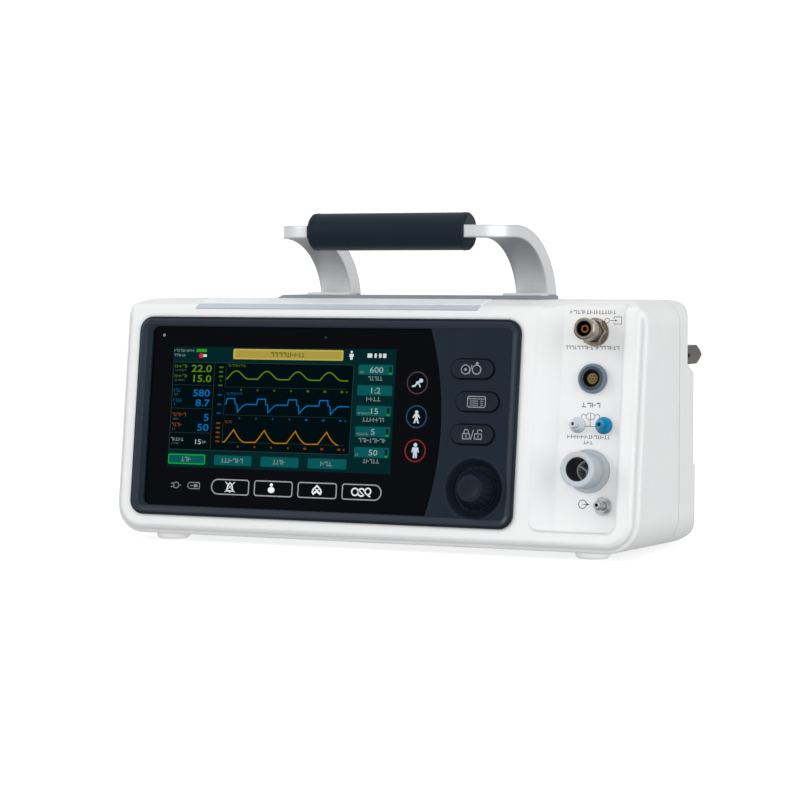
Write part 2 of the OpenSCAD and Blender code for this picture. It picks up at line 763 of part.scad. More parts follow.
module main_board() place() color("darkgreen") on_panel(lcd_u, lcd_v, 0) difference() {
    union() {
        block([-board_half_u, board_half_u], [-board_half_v, board_half_v], [board_back, board_front]);
        // Processor with its heat spreader, memory and connectors
        block([-chip / 2, chip / 2], [4 - chip / 2, 4 + chip / 2], [board_back - 4, board_back]);
        for (i = [0:3]) translate([board_half_u - 54 + i * 11, -2, board_back])
            block([0, 8], [0, 16], [-1.4, 0]);
        for (i = [0:2]) translate([-board_half_u + 18 + i * 24, 2 - board_half_v, board_back])
            block([0, plug[0]], [0, plug[1]], [-plug[2], 0]);
        for (i = [0:2]) translate([board_half_u - 44 + i * 12, -22, board_back]) rod(4, -9, 0);
    }
    for (x = [-1, 1], y = [-1, 1]) translate([x * board_bolt_u, y * board_bolt_v, 0])
        rod(1.1, board_back - cut, board_front + cut);
}

keypad_posts = [for (x = [-1, 1], y = [0, 1])
    [keypad_u + x * keypad_bolt, key_v + key_pitch / 2 - 1 - y * 3 * key_pitch, 0]];
keypad_low = key_v - 2.6 * key_pitch;

module keypad_board() place() color("darkgreen") on_panel() difference() {
    union() {
        block([keypad_u - keypad_half, keypad_u + keypad_half], [keypad_low, key_v + keypad_rim],
            [keypad_front - board_t, keypad_front]);
        for (i = [0:2]) translate([key_u[i], key_v - i * key_pitch, 0])
            rod(switch_r, keypad_front - cut / 2, switch_top);
        block([keypad_u - 8, keypad_u + 8], [keypad_low + 1, keypad_low + 5],
            [keypad_front - board_t - 4, keypad_front - board_t]);
    }
    for (p = keypad_posts) translate(p) rod(1.1, keypad_front - board_t - cut, keypad_front + cut);
}

hollow_r = 26;

module panel_key(i) on_panel(key_u[i], key_v - i * key_pitch - key_h / 2, 0) {
    difference() {
        translate([0, 0, flange_back]) linear_extrude(bezel_proud + key_proud - flange_back)
            pill(key_w, key_h);
        // Shallow hollow for the fingertip
        translate([0, key_h / 2, bezel_proud + key_proud]) rotate([0, 90, 0])
            translate([-hollow_r + 0.5, 0, -key_w / 2 + 4]) cylinder(r = hollow_r, h = key_w - 8, $fn = 128);
    }
    // Retaining flange behind the panel
    translate([0, -key_flange, flange_back]) linear_extrude(flange_t)
        pill(key_w + 2 * key_flange, key_h + 2 * key_flange);
}

module standby_key() place() color([0.17, 0.21, 0.26]) panel_key(0);
module menu_key() place() color([0.17, 0.21, 0.26]) panel_key(1);
module lock_key() place() color([0.17, 0.21, 0.26]) panel_key(2);

module knob() place() color([0.16, 0.2, 0.25]) on_panel(knob_u, knob_v, 0) difference() {
    union() {
        rod(knob_r, knob_base, knob_base + 1.6);
        taper(knob_r - 0.8, knob_face_r, knob_base + 1.6, knob_face_w);
    }
    // Flutes around the taper
    for (a = [0:360 / knob_flutes:359]) rotate([0, 0, a]) translate([knob_r + 0.6, 0, knob_base + 1.6])
        rotate([0, -atan((knob_r - knob_face_r) / knob_l), 0]) rod(1.7, 0, knob_l, 24);
    // Shallow hollow in the face
    translate([0, 0, knob_face_w + 29.4]) sphere(r = 30, $fn = 96);
    rod(shaft_r, knob_base - cut, shaft_front);
    // Hollow underside
    rod(knob_r - 3, knob_base - cut, knob_base + 1);
}
knob_flutes = 18;

module encoder_shaft() place() color("silver") on_panel(knob_u, knob_v, 0) difference() {
    rod(shaft_r, shaft_back, shaft_front);
    rod(pilot_r + run_gap, shaft_back - cut, shaft_back + 4);
}

module encoder_plunger() place() color("gold") on_panel(knob_u, knob_v, 0) {
    rod(plunger_r, shaft_back - set_gap - plunger_t, shaft_back - set_gap);
    rod(pilot_r, shaft_back - set_gap - plunger_t / 2, shaft_back + 3);
}

module encoder_body() place() color("dimgray") on_panel(knob_u, knob_v, 0) difference() {
    union() {
        block([-encoder_size / 2, encoder_size / 2], [-encoder_size / 2, encoder_size / 2],
            [dish_back - encoder_l, dish_back]);
        rod(bushing_r, dish_back - cut, dish_floor);
        for (x = [-1:1]) translate([x * 3, -encoder_size / 2 + 1, dish_back - encoder_l])
            rod(0.6, -3, cut, 24);
    }
    rod(shaft_r + run_gap, dish_back - encoder_l + 1, dish_floor + cut);
    rod(plunger_r + run_gap, dish_back - encoder_l + 1, shaft_back + 1);
}

// ---------- connector bay ----------

module at_port(du, v) translate([port_u + du, v, 0]) children();

gas_tail_r = 6;
socket_tail_r = 7.5;
luer_tail_r = 2.6;
insp_tail_r = 9.5;
gas_hex_r = 8.6;
gas_nose_r = 6.9;
gas_l = 22;

module gas_inlet() place() color("silver") on_panel() at_port(0, gas_v) difference() {
    union() {
        rod(gas_tail_r, block_front, bay_floor + cut);
        rod(gas_hex_r + 0.4, bay_floor, bay_floor + 1.2);
        rod(gas_hex_r, bay_floor + 1.2, bay_floor + 8, 6);
        rod(gas_nose_r - 0.9, bay_floor + 8, bay_floor + 13);
        rod(gas_nose_r, bay_floor + 13, bay_floor + gas_l - 0.8);
        taper(gas_nose_r, gas_nose_r - 0.8, bay_floor + gas_l - 0.8, bay_floor + gas_l);
        // Nut behind the bay floor
        rod(8, bay_back - 4, bay_back, 6);
    }
    rod(5, bay_floor + 6, bay_floor + gas_l + cut);
    rod(2.5, block_front - cut, bay_floor + 6 + cut);
}

module gas_inlet_core() place() color("peru") on_panel() at_port(0, gas_v) difference() {
    union() {
        rod(5, bay_floor + 6, bay_floor + 9);
        rod(3.2, bay_floor + 9, bay_floor + gas_l - 3);
        taper(3.2, 2.4, bay_floor + gas_l - 3, bay_floor + gas_l - 2);
    }
    rod(1.5, bay_floor + 6 - cut, bay_floor + gas_l);
}

module sensor_socket() place() color("slategray") on_panel() at_port(0, socket_v) difference() {
    union() {
        rod(socket_tail_r, bay_back - 6, bay_floor + cut);
        rod(9.4, bay_floor, bay_floor + 2.4);
        taper(9.4, 8.6, bay_floor + 2.4, bay_floor + 4);
        rod(9, bay_back - 3, bay_back, 6);
    }
    rod(5.6, bay_back - 4, bay_floor + 4 + cut);
    rod(3, bay_back - 6 - cut, bay_back - 4 + cut);
    // Key ways of the plug
    for (a = [0, 110, 250]) rotate([0, 0, a]) translate([5.4, -0.9, bay_floor]) cube([1.4, 1.8, 5]);
}

module sensor_socket_pins() place() color("goldenrod") on_panel() at_port(0, socket_v) {
    rod(5.6, bay_back - 4, bay_back + 1);
    rod(3.4, bay_back - 4, bay_floor + 1.6);
    for (a = [0:60:359]) rotate([0, 0, a]) translate([2, 0, 0]) rod(0.45, bay_floor + 1, bay_floor + 3, 16);
    rod(0.45, bay_floor + 1, bay_floor + 3, 16);
    rod(3, bay_back - 9, bay_back - 4 + cut);
}

// Hose barb with a locking collar
module pressure_port(flange_r) difference() {
    union() {
        rod(luer_tail_r, block_front, bay_floor + cut);
        rod(flange_r, bay_floor, bay_floor + 1.8);
        taper(flange_r, flange_r - 1.6, bay_floor + 1.8, bay_floor + 4);
        rod(2.3, bay_floor + 4 - cut, bay_floor + 7.6);
        taper(3, 2.1, bay_floor + 7.6, bay_floor + 10.4);
        rod(luer_tail_r + 1.6, bay_back - 2.5, bay_back);
    }
    rod(1.1, block_front - cut, bay_floor + 11);
}

module pressure_port_white() place() color("white")
    on_panel() at_port(-luer_du, luer_v) pressure_port(5);
module pressure_port_blue() place() color("deepskyblue")
    on_panel() at_port(luer_du, luer_v) pressure_port(5.4);

module insp_port() place() color("darkgray") on_panel() at_port(0, insp_v) difference() {
    union() {
        rod(insp_tail_r, bay_back - 6, bay_floor + cut);
        rod(13.8, bay_floor, bay_floor + 2.2);
        taper(13.8, 12.8, bay_floor + 2.2, bay_floor + 3.4);
        rod(insp_r, bay_floor + 3.4 - cut, bay_floor + insp_l);
        rod(12.4, bay_back - 4, bay_back, 6);
    }
    rod(insp_bore_r, bay_floor + 4, bay_floor + insp_l + cut);
    rod(insp_bore_r - 1, bay_back - 6 - cut, bay_floor + 4 + cut);
}

// Cross-shaped flow straightener in the throat of the port
module insp_port_vanes() place() color("gray") on_panel() at_port(0, insp_v) {
    pipe(insp_bore_r - 1, insp_bore_r - 1.8, bay_floor - 2, bay_floor + 4);
    for (a = [0:120:359]) rotate([0, 0, a + 30])
        translate([0, -0.6, bay_floor - 2]) cube([insp_bore_r - 1.4, 1.2, 6]);
}

module sample_port() place() color("silver") on_panel() at_port(sample_du, sample_v) difference() {
    union() {
        rod(luer_tail_r, block_front, bay_floor + cut);
        rod(5.7, bay_floor, bay_floor + 2);
        rod(4.6, bay_floor + 2 - cut, bay_floor + 5.5);
        rod(2.4, bay_floor + 5, bay_floor + 10);
        taper(3.1, 2.1, bay_floor + 10, bay_floor + 13.4);
        rod(luer_tail_r + 1.6, bay_back - 2.5, bay_back);
    }
    rod(1.1, block_front - cut, bay_floor + 14);
}

// ---------- gas block ----------

block_bolts_v = [block_v0 + 17, block_v1 - 19];
valve_v = [100, 72];
valve_r = 11;
valve_l = 30;
plunger_rod_r = 3;
plunger_stroke = 1.5;
valve_wall = 2;

// Rigid tube from the breathing gas port to the gas block
module port_tubes() place() color("lightblue") on_panel() at_port(0, insp_v)
    pipe(insp_tail_r, insp_bore_r - 1, block_front, bay_back - 6);

module valve_manifold() place() color("silver") on_panel(port_u, 0, 0) difference() {
    block([-block_w / 2, block_w / 2], [block_v0, block_v1], [block_back, block_front]);
    translate([0, insp_v, 0]) rod(insp_bore_r - 1, block_front - 12, block_front + cut);
    for (v = valve_v) translate([0, v, 0]) rod(plunger_rod_r + run_gap, block_back - cut, block_back + 8);
    for (x = [-1, 1], v = block_bolts_v) translate([x * block_hole_u, v, 0]) {
        rod(screw_r + 0.1, block_back - cut, block_front + cut);
        rod(screw_head_r + 0.2, block_back - cut, block_front - 6);
    }
}

// Coil with its yoke; the plunger slides in its bore
module valve_coil(v) on_panel(port_u, v, 0) difference() {
    union() {
        rod(valve_r, block_back - valve_l, block_back);
        block([-valve_r, valve_r], [-valve_r + 3, valve_r - 3],
            [block_back - valve_l - 1.5, block_back - valve_l]);
    }
    rod(plunger_rod_r + run_gap, block_back - valve_l + valve_wall, block_back + cut);
}

module valve_plunger(v) on_panel(port_u, v, 0)
    rod(plunger_rod_r, block_back - valve_l + valve_wall + plunger_stroke + 1, block_back + 5);

module insp_valve_coil() place() color("black") valve_coil(valve_v[0]);
module insp_valve_plunger() place() color("silver") valve_plunger(valve_v[0]);
module fresh_valve_coil() place() color("black") valve_coil(valve_v[1]);
module fresh_valve_plunger() place() color("silver") valve_plunger(valve_v[1]);

regulator_r = 13;
regulator_l = 16;
bonnet_r = 10;
bonnet_l = 10;
sensor_v = 60;
sensor_half = 26;
sensor_t = 12;
sensor_plug_t = 2.5;
sensor_plug_half = 8;

module pressure_regulator() place() color("goldenrod") on_panel(port_u, insp_v - 7, block_back) {
    rod(regulator_r, -regulator_l, 0);
    rod(bonnet_r, -regulator_l - bonnet_l, -regulator_l);
    rod(4, -regulator_l - bonnet_l - 4, -regulator_l - bonnet_l, 6);
}

module flow_sensor() place() color("steelblue") on_panel(port_u - block_w / 2, sensor_v, 0) {
    block([-sensor_t, 0], [-sensor_half, sensor_half], [block_back + 2, block_front - 3]);
    block([-sensor_t - sensor_plug_t, -sensor_t], [-sensor_plug_half, sensor_plug_half],
        [block_back + 5, block_front - 6]);
}

// ---------- floor plate and electronics ----------

chassis_bolts_y = [chassis_y0 + 8, chassis_y1 - 8];

module chassis_plate() place() color("lightsteelblue") difference() {
    block([-chassis_half, chassis_half], [chassis_y0, chassis_y1], [chassis_z, chassis_z + chassis_t]);
    for (x = [-1, 1], y = chassis_bolts_y)
        translate([x * (chassis_half - 8), y, chassis_z]) rod(screw_r + 0.1, -cut, 2 * chassis_t);
}

power_z = chassis_z + chassis_t + board_post_h;

power_x = -chassis_half + 10;
power_w = 110;
power_rim = 3;
transformer = [50, 30, 24];
choke_r = 4.5;
choke_h = 18;
supply = [8, 30, 14];

module power_board() place() color("seagreen") translate([power_x, chassis_y0, power_z]) {
    block([0, power_w], [power_rim, chassis_d - power_rim], [0, board_t]);
    for (x = [5, power_w - 5], y = [7, chassis_d - 7]) translate([x, y, 0])
        rod(2.5, -board_post_h, board_t / 2);
    // Transformer, chokes and supply module
    block([transformer[0], transformer[0] + transformer[1]], [6, 30], [board_t, transformer[2]]);
    for (i = [0:2]) translate([power_w - 20, 9 + i * 10, 0]) rod(choke_r, board_t / 2, choke_h);
    block([supply[0], supply[0] + supply[1]], [8, 22], [board_t, supply[2]]);
}

sink_w = 40;
sink_h = 32;
sink_base_t = 3;
sink_fin_t = 2;
sink_fins = 8;
sink_pitch = (sink_w - sink_fin_t) / (sink_fins - 1);

module heat_sink() place() color("silver") translate([power_x + 4, chassis_y1 - 14, power_z]) {
    block([0, sink_w], [0, sink_base_t], [board_t, sink_h]);
    for (i = [0:sink_fins - 1]) translate([i * sink_pitch, 0, 0])
        block([0, sink_fin_t], [sink_base_t - cut / 2, sink_base_t + 6], [board_t, sink_h]);
}

speaker_y = split_y - 25;
speaker_z = 100;
speaker_r = 18;
speaker_t = 4;
magnet_r = 10;
magnet_t = 8;
speaker_x0 = -case_w / 2 + wall;

module speaker() place() color("dimgray") {
    difference() {
        rod_x(speaker_y, speaker_z, speaker_r, speaker_x0, speaker_x0 + speaker_t);
        rod_x(speaker_y, speaker_z, speaker_r - 3, speaker_x0 - cut, speaker_x0 + speaker_t / 2);
    }
    rod_x(speaker_y, speaker_z, magnet_r, speaker_x0 + speaker_t - cut / 2,
        speaker_x0 + speaker_t + magnet_t);
}

// ---------- fan, power inlet and rear gas fitting ----------

fan_bolt = 16;
fan_blades = 7;
fan_plate_t = 1.2;
fan_blade_l = 8;
fan_slot_pitch = 5;
fan_slot_half = 1.2;

// The fan's own frame: its middle axis, with the intake side at Y = 0
module at_fan() translate([fan_x, fan_y1 - fan_gap - fan_t, fan_z]) children();

module fan_frame() place() color("black") at_fan() difference() {
    union() {
        difference() {
            block([-fan_size / 2, fan_size / 2], [0, fan_t], [-fan_size / 2, fan_size / 2]);
            rod_y(0, 0, fan_bore_r, -cut, fan_t + cut);
        }
        // Spokes and the hub plate that carries the pin
        for (a = [45, 135]) translate([0, fan_plate_t / 2, 0]) rotate([0, a, 0])
            cube([2 * fan_bore_r + 2, fan_plate_t, 2 * fan_plate_t], center = true);
        rod_y(0, 0, fan_hub_r, 0, fan_plate_t);
        rod_y(0, 0, fan_pin_r, 0, fan_t - 1.4);
    }
    for (x = [-1, 1], z = [-1, 1]) rod_y(x * fan_bolt, z * fan_bolt, 1.6, -cut, fan_t + cut);
}

module fan_rotor() place() color("dimgray") at_fan() difference() {
    union() {
        rod_y(0, 0, fan_hub_r, fan_plate_t + 0.4, fan_t - 0.6);
        for (i = [0:fan_blades - 1]) translate([0, fan_t / 2 + 0.4, 0])
            rotate([0, i * 360 / fan_blades, 0]) translate([fan_hub_r - 1, 0, 0]) rotate([35, 0, 0])
                translate([0, -fan_plate_t / 2, -fan_blade_l / 2])
                    cube([fan_bore_r - fan_hub_r - 0.2, fan_plate_t, fan_blade_l]);
    }
    rod_y(0, 0, fan_pin_r + run_gap, -cut, fan_t + cut);
}

// A block centred on the power inlet, larger or smaller than its opening
module inlet_block(grow, y) block([inlet_x - inlet_w / 2 - grow, inlet_x + inlet_w / 2 + grow], y,
    [inlet_z - inlet_h / 2 - grow, inlet_z + inlet_h / 2 + grow]);

module power_inlet() place() color([0.12, 0.12, 0.13]) difference() {
    union() {
        inlet_block(-set_gap, [battery_y - inlet_l, battery_y + cut]);
        inlet_block(inlet_flange, [battery_y, battery_y + inlet_flange_t]);
    }
    inlet_block(-inlet_flange, [battery_y - inlet_l + 10, battery_y + 2 * inlet_flange_t]);
}

inlet_l = 26;
inlet_flange = 3.4;
inlet_flange_t = 1.6;

rear_tail_r = 4.6;
filter_r = 8;
filter_x = rear_gas_x;
filter_gap = 4.6;
gas_boss_r = 8.5;
gas_boss_y0 = case_d - wall - 3.2;
gas_boss_y1 = case_d + 1;
gas_tail_y = gas_boss_y0 - 7;
filter_y1 = gas_tail_y - 5.2;
filter_y0 = panel_y(rear_gas_z + filter_r) - block_back / cos(panel_tilt) + filter_gap;

// Nipple with a long hexagon, whose corners are chamfered at the end
module rear_gas_fitting() place() color("gray")
translate([rear_gas_x, 0, rear_gas_z]) rotate([-90, 0, 0]) difference() {
    union() {
        rod(rear_tail_r, gas_tail_y, gas_boss_y1 + cut);
        rod(rear_gas_r + 0.9, gas_boss_y1, gas_boss_y1 + 1.4);
        rod(rear_gas_r, gas_boss_y1, rear_gas_end - rear_nut_l + cut);
        intersection() {
            rod(rear_nut_r, rear_gas_end - rear_nut_l, rear_gas_end, 6);
            union() {
                rod(rear_nut_r + cut, rear_gas_end - far, rear_gas_end - rear_nut_chamfer);
                taper(rear_nut_r + 0.4, rear_gas_r - 0.6, rear_gas_end - rear_nut_chamfer, rear_gas_end);
            }
        }
        rod(rear_gas_r + 0.4, gas_boss_y0 - 4, gas_boss_y0, 6);
    }
    rod(4.2, rear_gas_end - 14, rear_gas_end + cut);
    rod(2, gas_tail_y - cut, rear_gas_end);
}

// Filter on the supply line, resting on its saddle
module inlet_filter() place() color("lightgray") {
    rod_y(filter_x, rear_gas_z, filter_r, filter_y0, filter_y1);
    rod_y(filter_x, rear_gas_z, 3.6, filter_y1 - cut, gas_tail_y);
}

// ---------- handle ----------

arc_steps = 20;
// Concave front of a leg and convex back, as quarter ellipses from the foot up to the bar
concave_reach = handle_foot_y - handle_front_y - handle_bar_w;
convex_reach = handle_y1 - handle_front_y - handle_bar_w;
leg_drop = 2;
grip_chamfer = 1.4;
function leg_curve(foot, reach, top) = [for (i = [0:arc_steps]) let(a = 90 * i / arc_steps)
    [foot - reach * (1 - cos(a)), case_top_z - leg_drop + (top - case_top_z + leg_drop) * sin(a)]];

module handle_profile() polygon(concat(
    leg_curve(handle_foot_y, concave_reach, bar_top - handle_bar_t),
    [[handle_front_y - cut, bar_top - handle_bar_t], [handle_front_y - cut, bar_top]],
    [for (i = [0:arc_steps]) leg_curve(handle_y1, convex_reach, bar_top)[arc_steps - i]]
));

module handle_plan(inset) translate([handle_cx, handle_front_y + inset])
    round_rect(handle_w - 2 * inset, far, handle_corner_r - inset);

module handle_screw_holes(z0, z1, r)
    for (x = [-1, 1]) translate([handle_cx + x * handle_leg_x, handle_bolt_y, 0]) rod(r, z0, z1);

module handle() place() color("silver") difference() {
    intersection() {
        along_x(-far, far) handle_profile();
        linear_extrude(far) difference() {
            handle_plan(0);
            handle_plan(handle_bar_w);
        }
        translate([-far, -far, case_top_z + plate_t]) cube([2 * far, 2 * far, far]);
    }
    // Narrower neck inside the grip
    for (y = [handle_front_y - 2 * cut, handle_front_y + handle_bar_w - neck_inset])
        block([handle_cx - grip_l / 2, handle_cx + grip_l / 2], [y, y + neck_inset + 2 * cut],
            [bar_top - far / 10, bar_top + cut]);
    handle_screw_holes(case_top_z, case_top_z + plate_t + 12, screw_r);
}

module handle_grip() place() color([0.14, 0.18, 0.22]) difference() {
    union() {
        rod_x(grip_y, bar_z, grip_r, handle_cx - grip_l / 2 + grip_chamfer,
            handle_cx + grip_l / 2 - grip_chamfer);
        for (s = [-1, 1]) translate([handle_cx + s * (grip_l / 2 - grip_chamfer), grip_y, bar_z])
            rotate([0, s * 90, 0]) taper(grip_r, grip_r - grip_chamfer, 0, grip_chamfer);
    }
    block([-far, far], [handle_front_y + neck_inset, handle_front_y + handle_bar_w - neck_inset],
        [bar_top - handle_bar_t, bar_top]);
}

module handle_plate() place() color("slategray") difference() {
    translate([0, plate_y1, case_top_z]) rotate([90, 0, 0]) linear_extrude(plate_y1 - plate_y0) polygon([
        [plate_x0, 0], [plate_x1, 0], [plate_x1, plate_t], [plate_x0 + 2 * plate_t, plate_t]
    ]);
    handle_screw_holes(case_top_z - cut, case_top_z + plate_t + cut, screw_r + 0.1);
}

// Low round-topped covers in front of the handle's feet
module handle_fairings() place() color("white") intersection() {
    for (s = [-1, 1]) translate([handle_cx + s * handle_leg_x, fairing_y1 - fairing_l / 2, case_top_z])
        rod_x(0, plate_t - fairing_r + fairing_h, fairing_r,
            -fairing_w / 2, fairing_w / 2 - max(0, s) * fairing_trim, 96);
    block([-far, far], [fairing_y1 - fairing_l, fairing_y1], [case_top_z + plate_t, case_top_z + far]);
}
fairing_y1 = handle_foot_y - 1.4;
fairing_w = 32;
fairing_trim = 4;
fairing_l = 13;
fairing_h = 1.9;
fairing_r = (fairing_l * fairing_l / 4 + fairing_h * fairing_h) / (2 * fairing_h);

// ---------- trim, feet and screws ----------

trim_x0 = -case_w / 2 + 54;
trim_x1 = case_w / 2 - 113;
trim_t = 0.8;
trim_slant = 1.2;
trim_slant_top = 3.5;
trim_gap = 0.25;

// Slanted strips laid on the two facets of the bevel
module top_trim_lower() place() color([0.69, 0.74, 0.81]) translate([0, bevel_y, bevel_z]) rotate([45, 0, 0])
    linear_extrude(trim_t) polygon([
        [trim_x0, trim_gap], [trim_x1, trim_gap],
        [trim_x1 + trim_slant, bevel_low * sqrt(2) - trim_gap],
        [trim_x0 + trim_slant, bevel_low * sqrt(2) - trim_gap]
    ]);

module top_trim_upper() place() color([0.84, 0.87, 0.9])
    translate([0, bevel_y + bevel_low, bevel_z + bevel_low]) rotate([atan(bevel_rise / bevel_long), 0, 0])
    linear_extrude(trim_t) polygon([
        [trim_x0 + trim_slant, 3 * trim_gap], [trim_x1 + trim_slant, 3 * trim_gap],
        [trim_x1 + trim_slant_top, bevel_long], [trim_x0 + trim_slant_top, bevel_long]
    ]);

module foot(r, seat) {
    taper(r - 1.6, r, 0, 1.6);
    rod(r, 1.6, seat);
}

module feet() place() color("white") {
    for (x = [-1, 1]) translate([x * foot_x, front_foot_y, 0]) foot(front_foot_r, front_seat_z);
    for (x = [-1, 1]) translate([x * foot_x, rear_foot_y, 0]) foot(rear_foot_r, rear_seat_z);
}

// Cross-headed screw: its head rests on w = 0 and its shank runs down
module screw(length, head = screw_head_r) difference() {
    union() {
        rod(screw_r, -length, 0, 32);
        rod(head, 0, screw_head_t, 32);
    }
    for (a = [0, 90]) rotate([0, 0, a]) translate([-head / 2, -head / 10, screw_head_t / 2])
        cube([head, head / 5, screw_head_t]);
}

module case_screws() place() color("silver") for (x = [-1, 1], z = screw_z)
    translate([x * screw_x, split_y + screw_floor, z]) rotate([-90, 0, 0]) screw(screw_l);

module handle_screws() place() color("silver")
    for (x = [-1, 1]) translate([handle_cx + x * handle_leg_x, handle_bolt_y, case_top_z - wall])
        rotate([180, 0, 0]) screw(wall + plate_t + 10);

module bracket_screws() place() color("silver") on_panel() {
    for (p = bracket_posts) translate([p[0], p[1], bracket_back]) rotate([180, 0, 0]) small_screw(4);
    for (p = main_board_posts) translate([p[0], p[1], board_back]) rotate([180, 0, 0]) small_screw(5);
    for (p = keypad_posts) translate([p[0], p[1], keypad_front - board_t]) rotate([180, 0, 0]) small_screw(4);
}

module small_screw(length) {
    rod(0.9, -length, 0, 24);
    rod(1.9, 0, 1.2, 24);
}

module manifold_screws() place() color("silver") {
    on_panel(port_u, 0, block_front - 6) for (x = [-1, 1], v = block_bolts_v)
        translate([x * block_hole_u, v, 0]) rotate([180, 0, 0]) screw(12);
    for (x = [-1, 1], y = chassis_bolts_y)
        translate([x * (chassis_half - 8), y, chassis_z + chassis_t]) screw(chassis_t + 3);
}

module door_screws() place() color("silver") for (x = [-1, 1])
    translate([x * door_bolt_x, battery_y - door_sink, door_z + door_h / 2]) rotate([-90, 0, 0]) screw(5);

front_case();
rear_cover();
battery_door();
battery_pack();
control_bezel();
display_glass();
lcd_module();
display_bracket();
main_board();
keypad_board();
standby_key();
menu_key();
lock_key();
knob();
encoder_shaft();
encoder_plunger();
encoder_body();
gas_inlet();
gas_inlet_core();
sensor_socket();
sensor_socket_pins();
pressure_port_white();
pressure_port_blue();
insp_port();
insp_port_vanes();
sample_port();
port_tubes();
valve_manifold();
insp_valve_coil();
insp_valve_plunger();
fresh_valve_coil();
fresh_valve_plunger();
pressure_regulator();
flow_sensor();
chassis_plate();
power_board();
heat_sink();
speaker();
fan_frame();
fan_rotor();
power_inlet();
rear_gas_fitting();
inlet_filter();
handle();
handle_grip();
handle_plate();
handle_fairings();
top_trim_upper();
top_trim_lower();
feet();
case_screws();
handle_screws();
bracket_screws();
manifold_screws();
door_screws();
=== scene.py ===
"""Looks of a portable mechanical ventilator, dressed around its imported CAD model."""

import json
import math
import random

import bmesh
import bpy
from mathutils import Matrix, Vector


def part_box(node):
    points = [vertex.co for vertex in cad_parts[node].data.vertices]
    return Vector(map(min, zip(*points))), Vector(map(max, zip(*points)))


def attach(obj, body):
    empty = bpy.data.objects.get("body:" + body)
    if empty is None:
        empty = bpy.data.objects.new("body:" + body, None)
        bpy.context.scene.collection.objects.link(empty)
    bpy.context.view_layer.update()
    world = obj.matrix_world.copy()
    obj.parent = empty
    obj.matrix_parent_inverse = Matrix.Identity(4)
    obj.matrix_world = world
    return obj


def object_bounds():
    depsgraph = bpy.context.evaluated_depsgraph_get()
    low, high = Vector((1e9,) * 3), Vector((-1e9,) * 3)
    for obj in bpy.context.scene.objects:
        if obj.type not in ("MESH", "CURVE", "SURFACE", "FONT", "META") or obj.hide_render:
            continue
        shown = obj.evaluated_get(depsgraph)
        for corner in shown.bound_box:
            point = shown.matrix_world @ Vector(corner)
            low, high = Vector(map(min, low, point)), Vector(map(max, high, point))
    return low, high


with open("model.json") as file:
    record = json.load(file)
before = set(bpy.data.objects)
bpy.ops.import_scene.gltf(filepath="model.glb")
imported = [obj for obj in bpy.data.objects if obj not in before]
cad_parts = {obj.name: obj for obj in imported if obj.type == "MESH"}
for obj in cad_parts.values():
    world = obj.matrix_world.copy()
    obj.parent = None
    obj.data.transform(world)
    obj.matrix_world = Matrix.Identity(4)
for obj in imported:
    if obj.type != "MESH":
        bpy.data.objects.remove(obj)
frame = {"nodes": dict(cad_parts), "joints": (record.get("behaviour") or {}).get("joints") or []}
cad_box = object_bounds()

# ---------- the leaning control panel's own directions, and its places in millimetres ----------

MM = 0.001
JOINTS = {j["name"]: j for j in frame["joints"]}
KNOB_U, KNOB_V, KNOB_FACE = 110.6, 24.8, 8.5
OUT = Vector(JOINTS["knob_spin"]["axis"]).normalized()
SIDE = Vector((1, 0, 0))
UP = OUT.cross(SIDE)
ORIGIN = Vector(JOINTS["knob_spin"]["pos_m"]) - (SIDE * KNOB_U + UP * KNOB_V + OUT * KNOB_FACE) * MM

# Heights out of the panel of the glass, the bezel, the keys and the floor of the connector bay
GLASS_W, BEZEL_W, KEY_W, BAY_W = -0.6, 1.2, 2.5, -8.0
# Thickness of print
INK = 0.03
# Outline of the panel: left, low, right, high and corner radius
BEZEL = (-137.75, 0.0, 137.75, 133.0, 9.5)
KEY_SPOTS = ((106.0, 101.0), (110.4, 80.2), (108.0, 59.4))
KEY_SIZE = (28.4, 11.8)
# The bay's fittings stand in one column
PORT_U = 183.95
INLET_V, SOCKET_V, PORT_V = 126.3, 97.0, 39.0


def panel(u, v, w=0.0):
    """A point in the frame, from millimetres along the panel, up the panel and out of it."""
    return ORIGIN + (SIDE * u + UP * v + OUT * w) * MM


# ---------- materials ----------


def linear(colour):
    """'#rrggbb' as linear red, green, blue and alpha."""
    parts = [int(colour[i:i + 2], 16) / 255 for i in (1, 3, 5)]
    return [p / 12.92 if p <= 0.04045 else ((p + 0.055) / 1.055) ** 2.4 for p in parts] + [1.0]


def new_material(name):
    material = bpy.data.materials.new(name)
    material.use_nodes = True
    nodes = material.node_tree.nodes
    return material, nodes, material.node_tree.links, nodes["Principled BSDF"]


def node(nodes, kind, **values):
    """A shader node with its sockets and settings filled in."""
    made = nodes.new(kind)
    for key, value in values.items():
        if hasattr(made, key):
            setattr(made, key, value)
        else:
            made.inputs[key.replace("_", " ")].default_value = value
    return made


def toned(base, factor, lift=0.0):
    """A linear colour made darker or lighter."""
    return [min(1, c * factor + lift) for c in base[:3]] + [1]


def two_tone(nodes, low, high, low_at=0.0, high_at=1.0):
    """A ramp from one colour to another."""
    ramp = node(nodes, "ShaderNodeValToRGB")
    for stop, colour, position in zip(ramp.color_ramp.elements, (low, high), (low_at, high_at)):
        stop.color, stop.position = colour, position
    return ramp


# The Mix node's colour sockets, which share their names with its other ones
MIX_SHARE, MIX_UNDER, MIX_OVER, MIX_RESULT = 0, 6, 7, 2


def mixed(nodes, links, share, under, over):
    """Lays a plain colour over a linked one, by a linked share."""
    mix = node(nodes, "ShaderNodeMix", data_type="RGBA")
    links.new(share, mix.inputs[MIX_SHARE])
    links.new(under, mix.inputs[MIX_UNDER])
    mix.inputs[MIX_OVER].default_value = over
    return mix.outputs[MIX_RESULT]


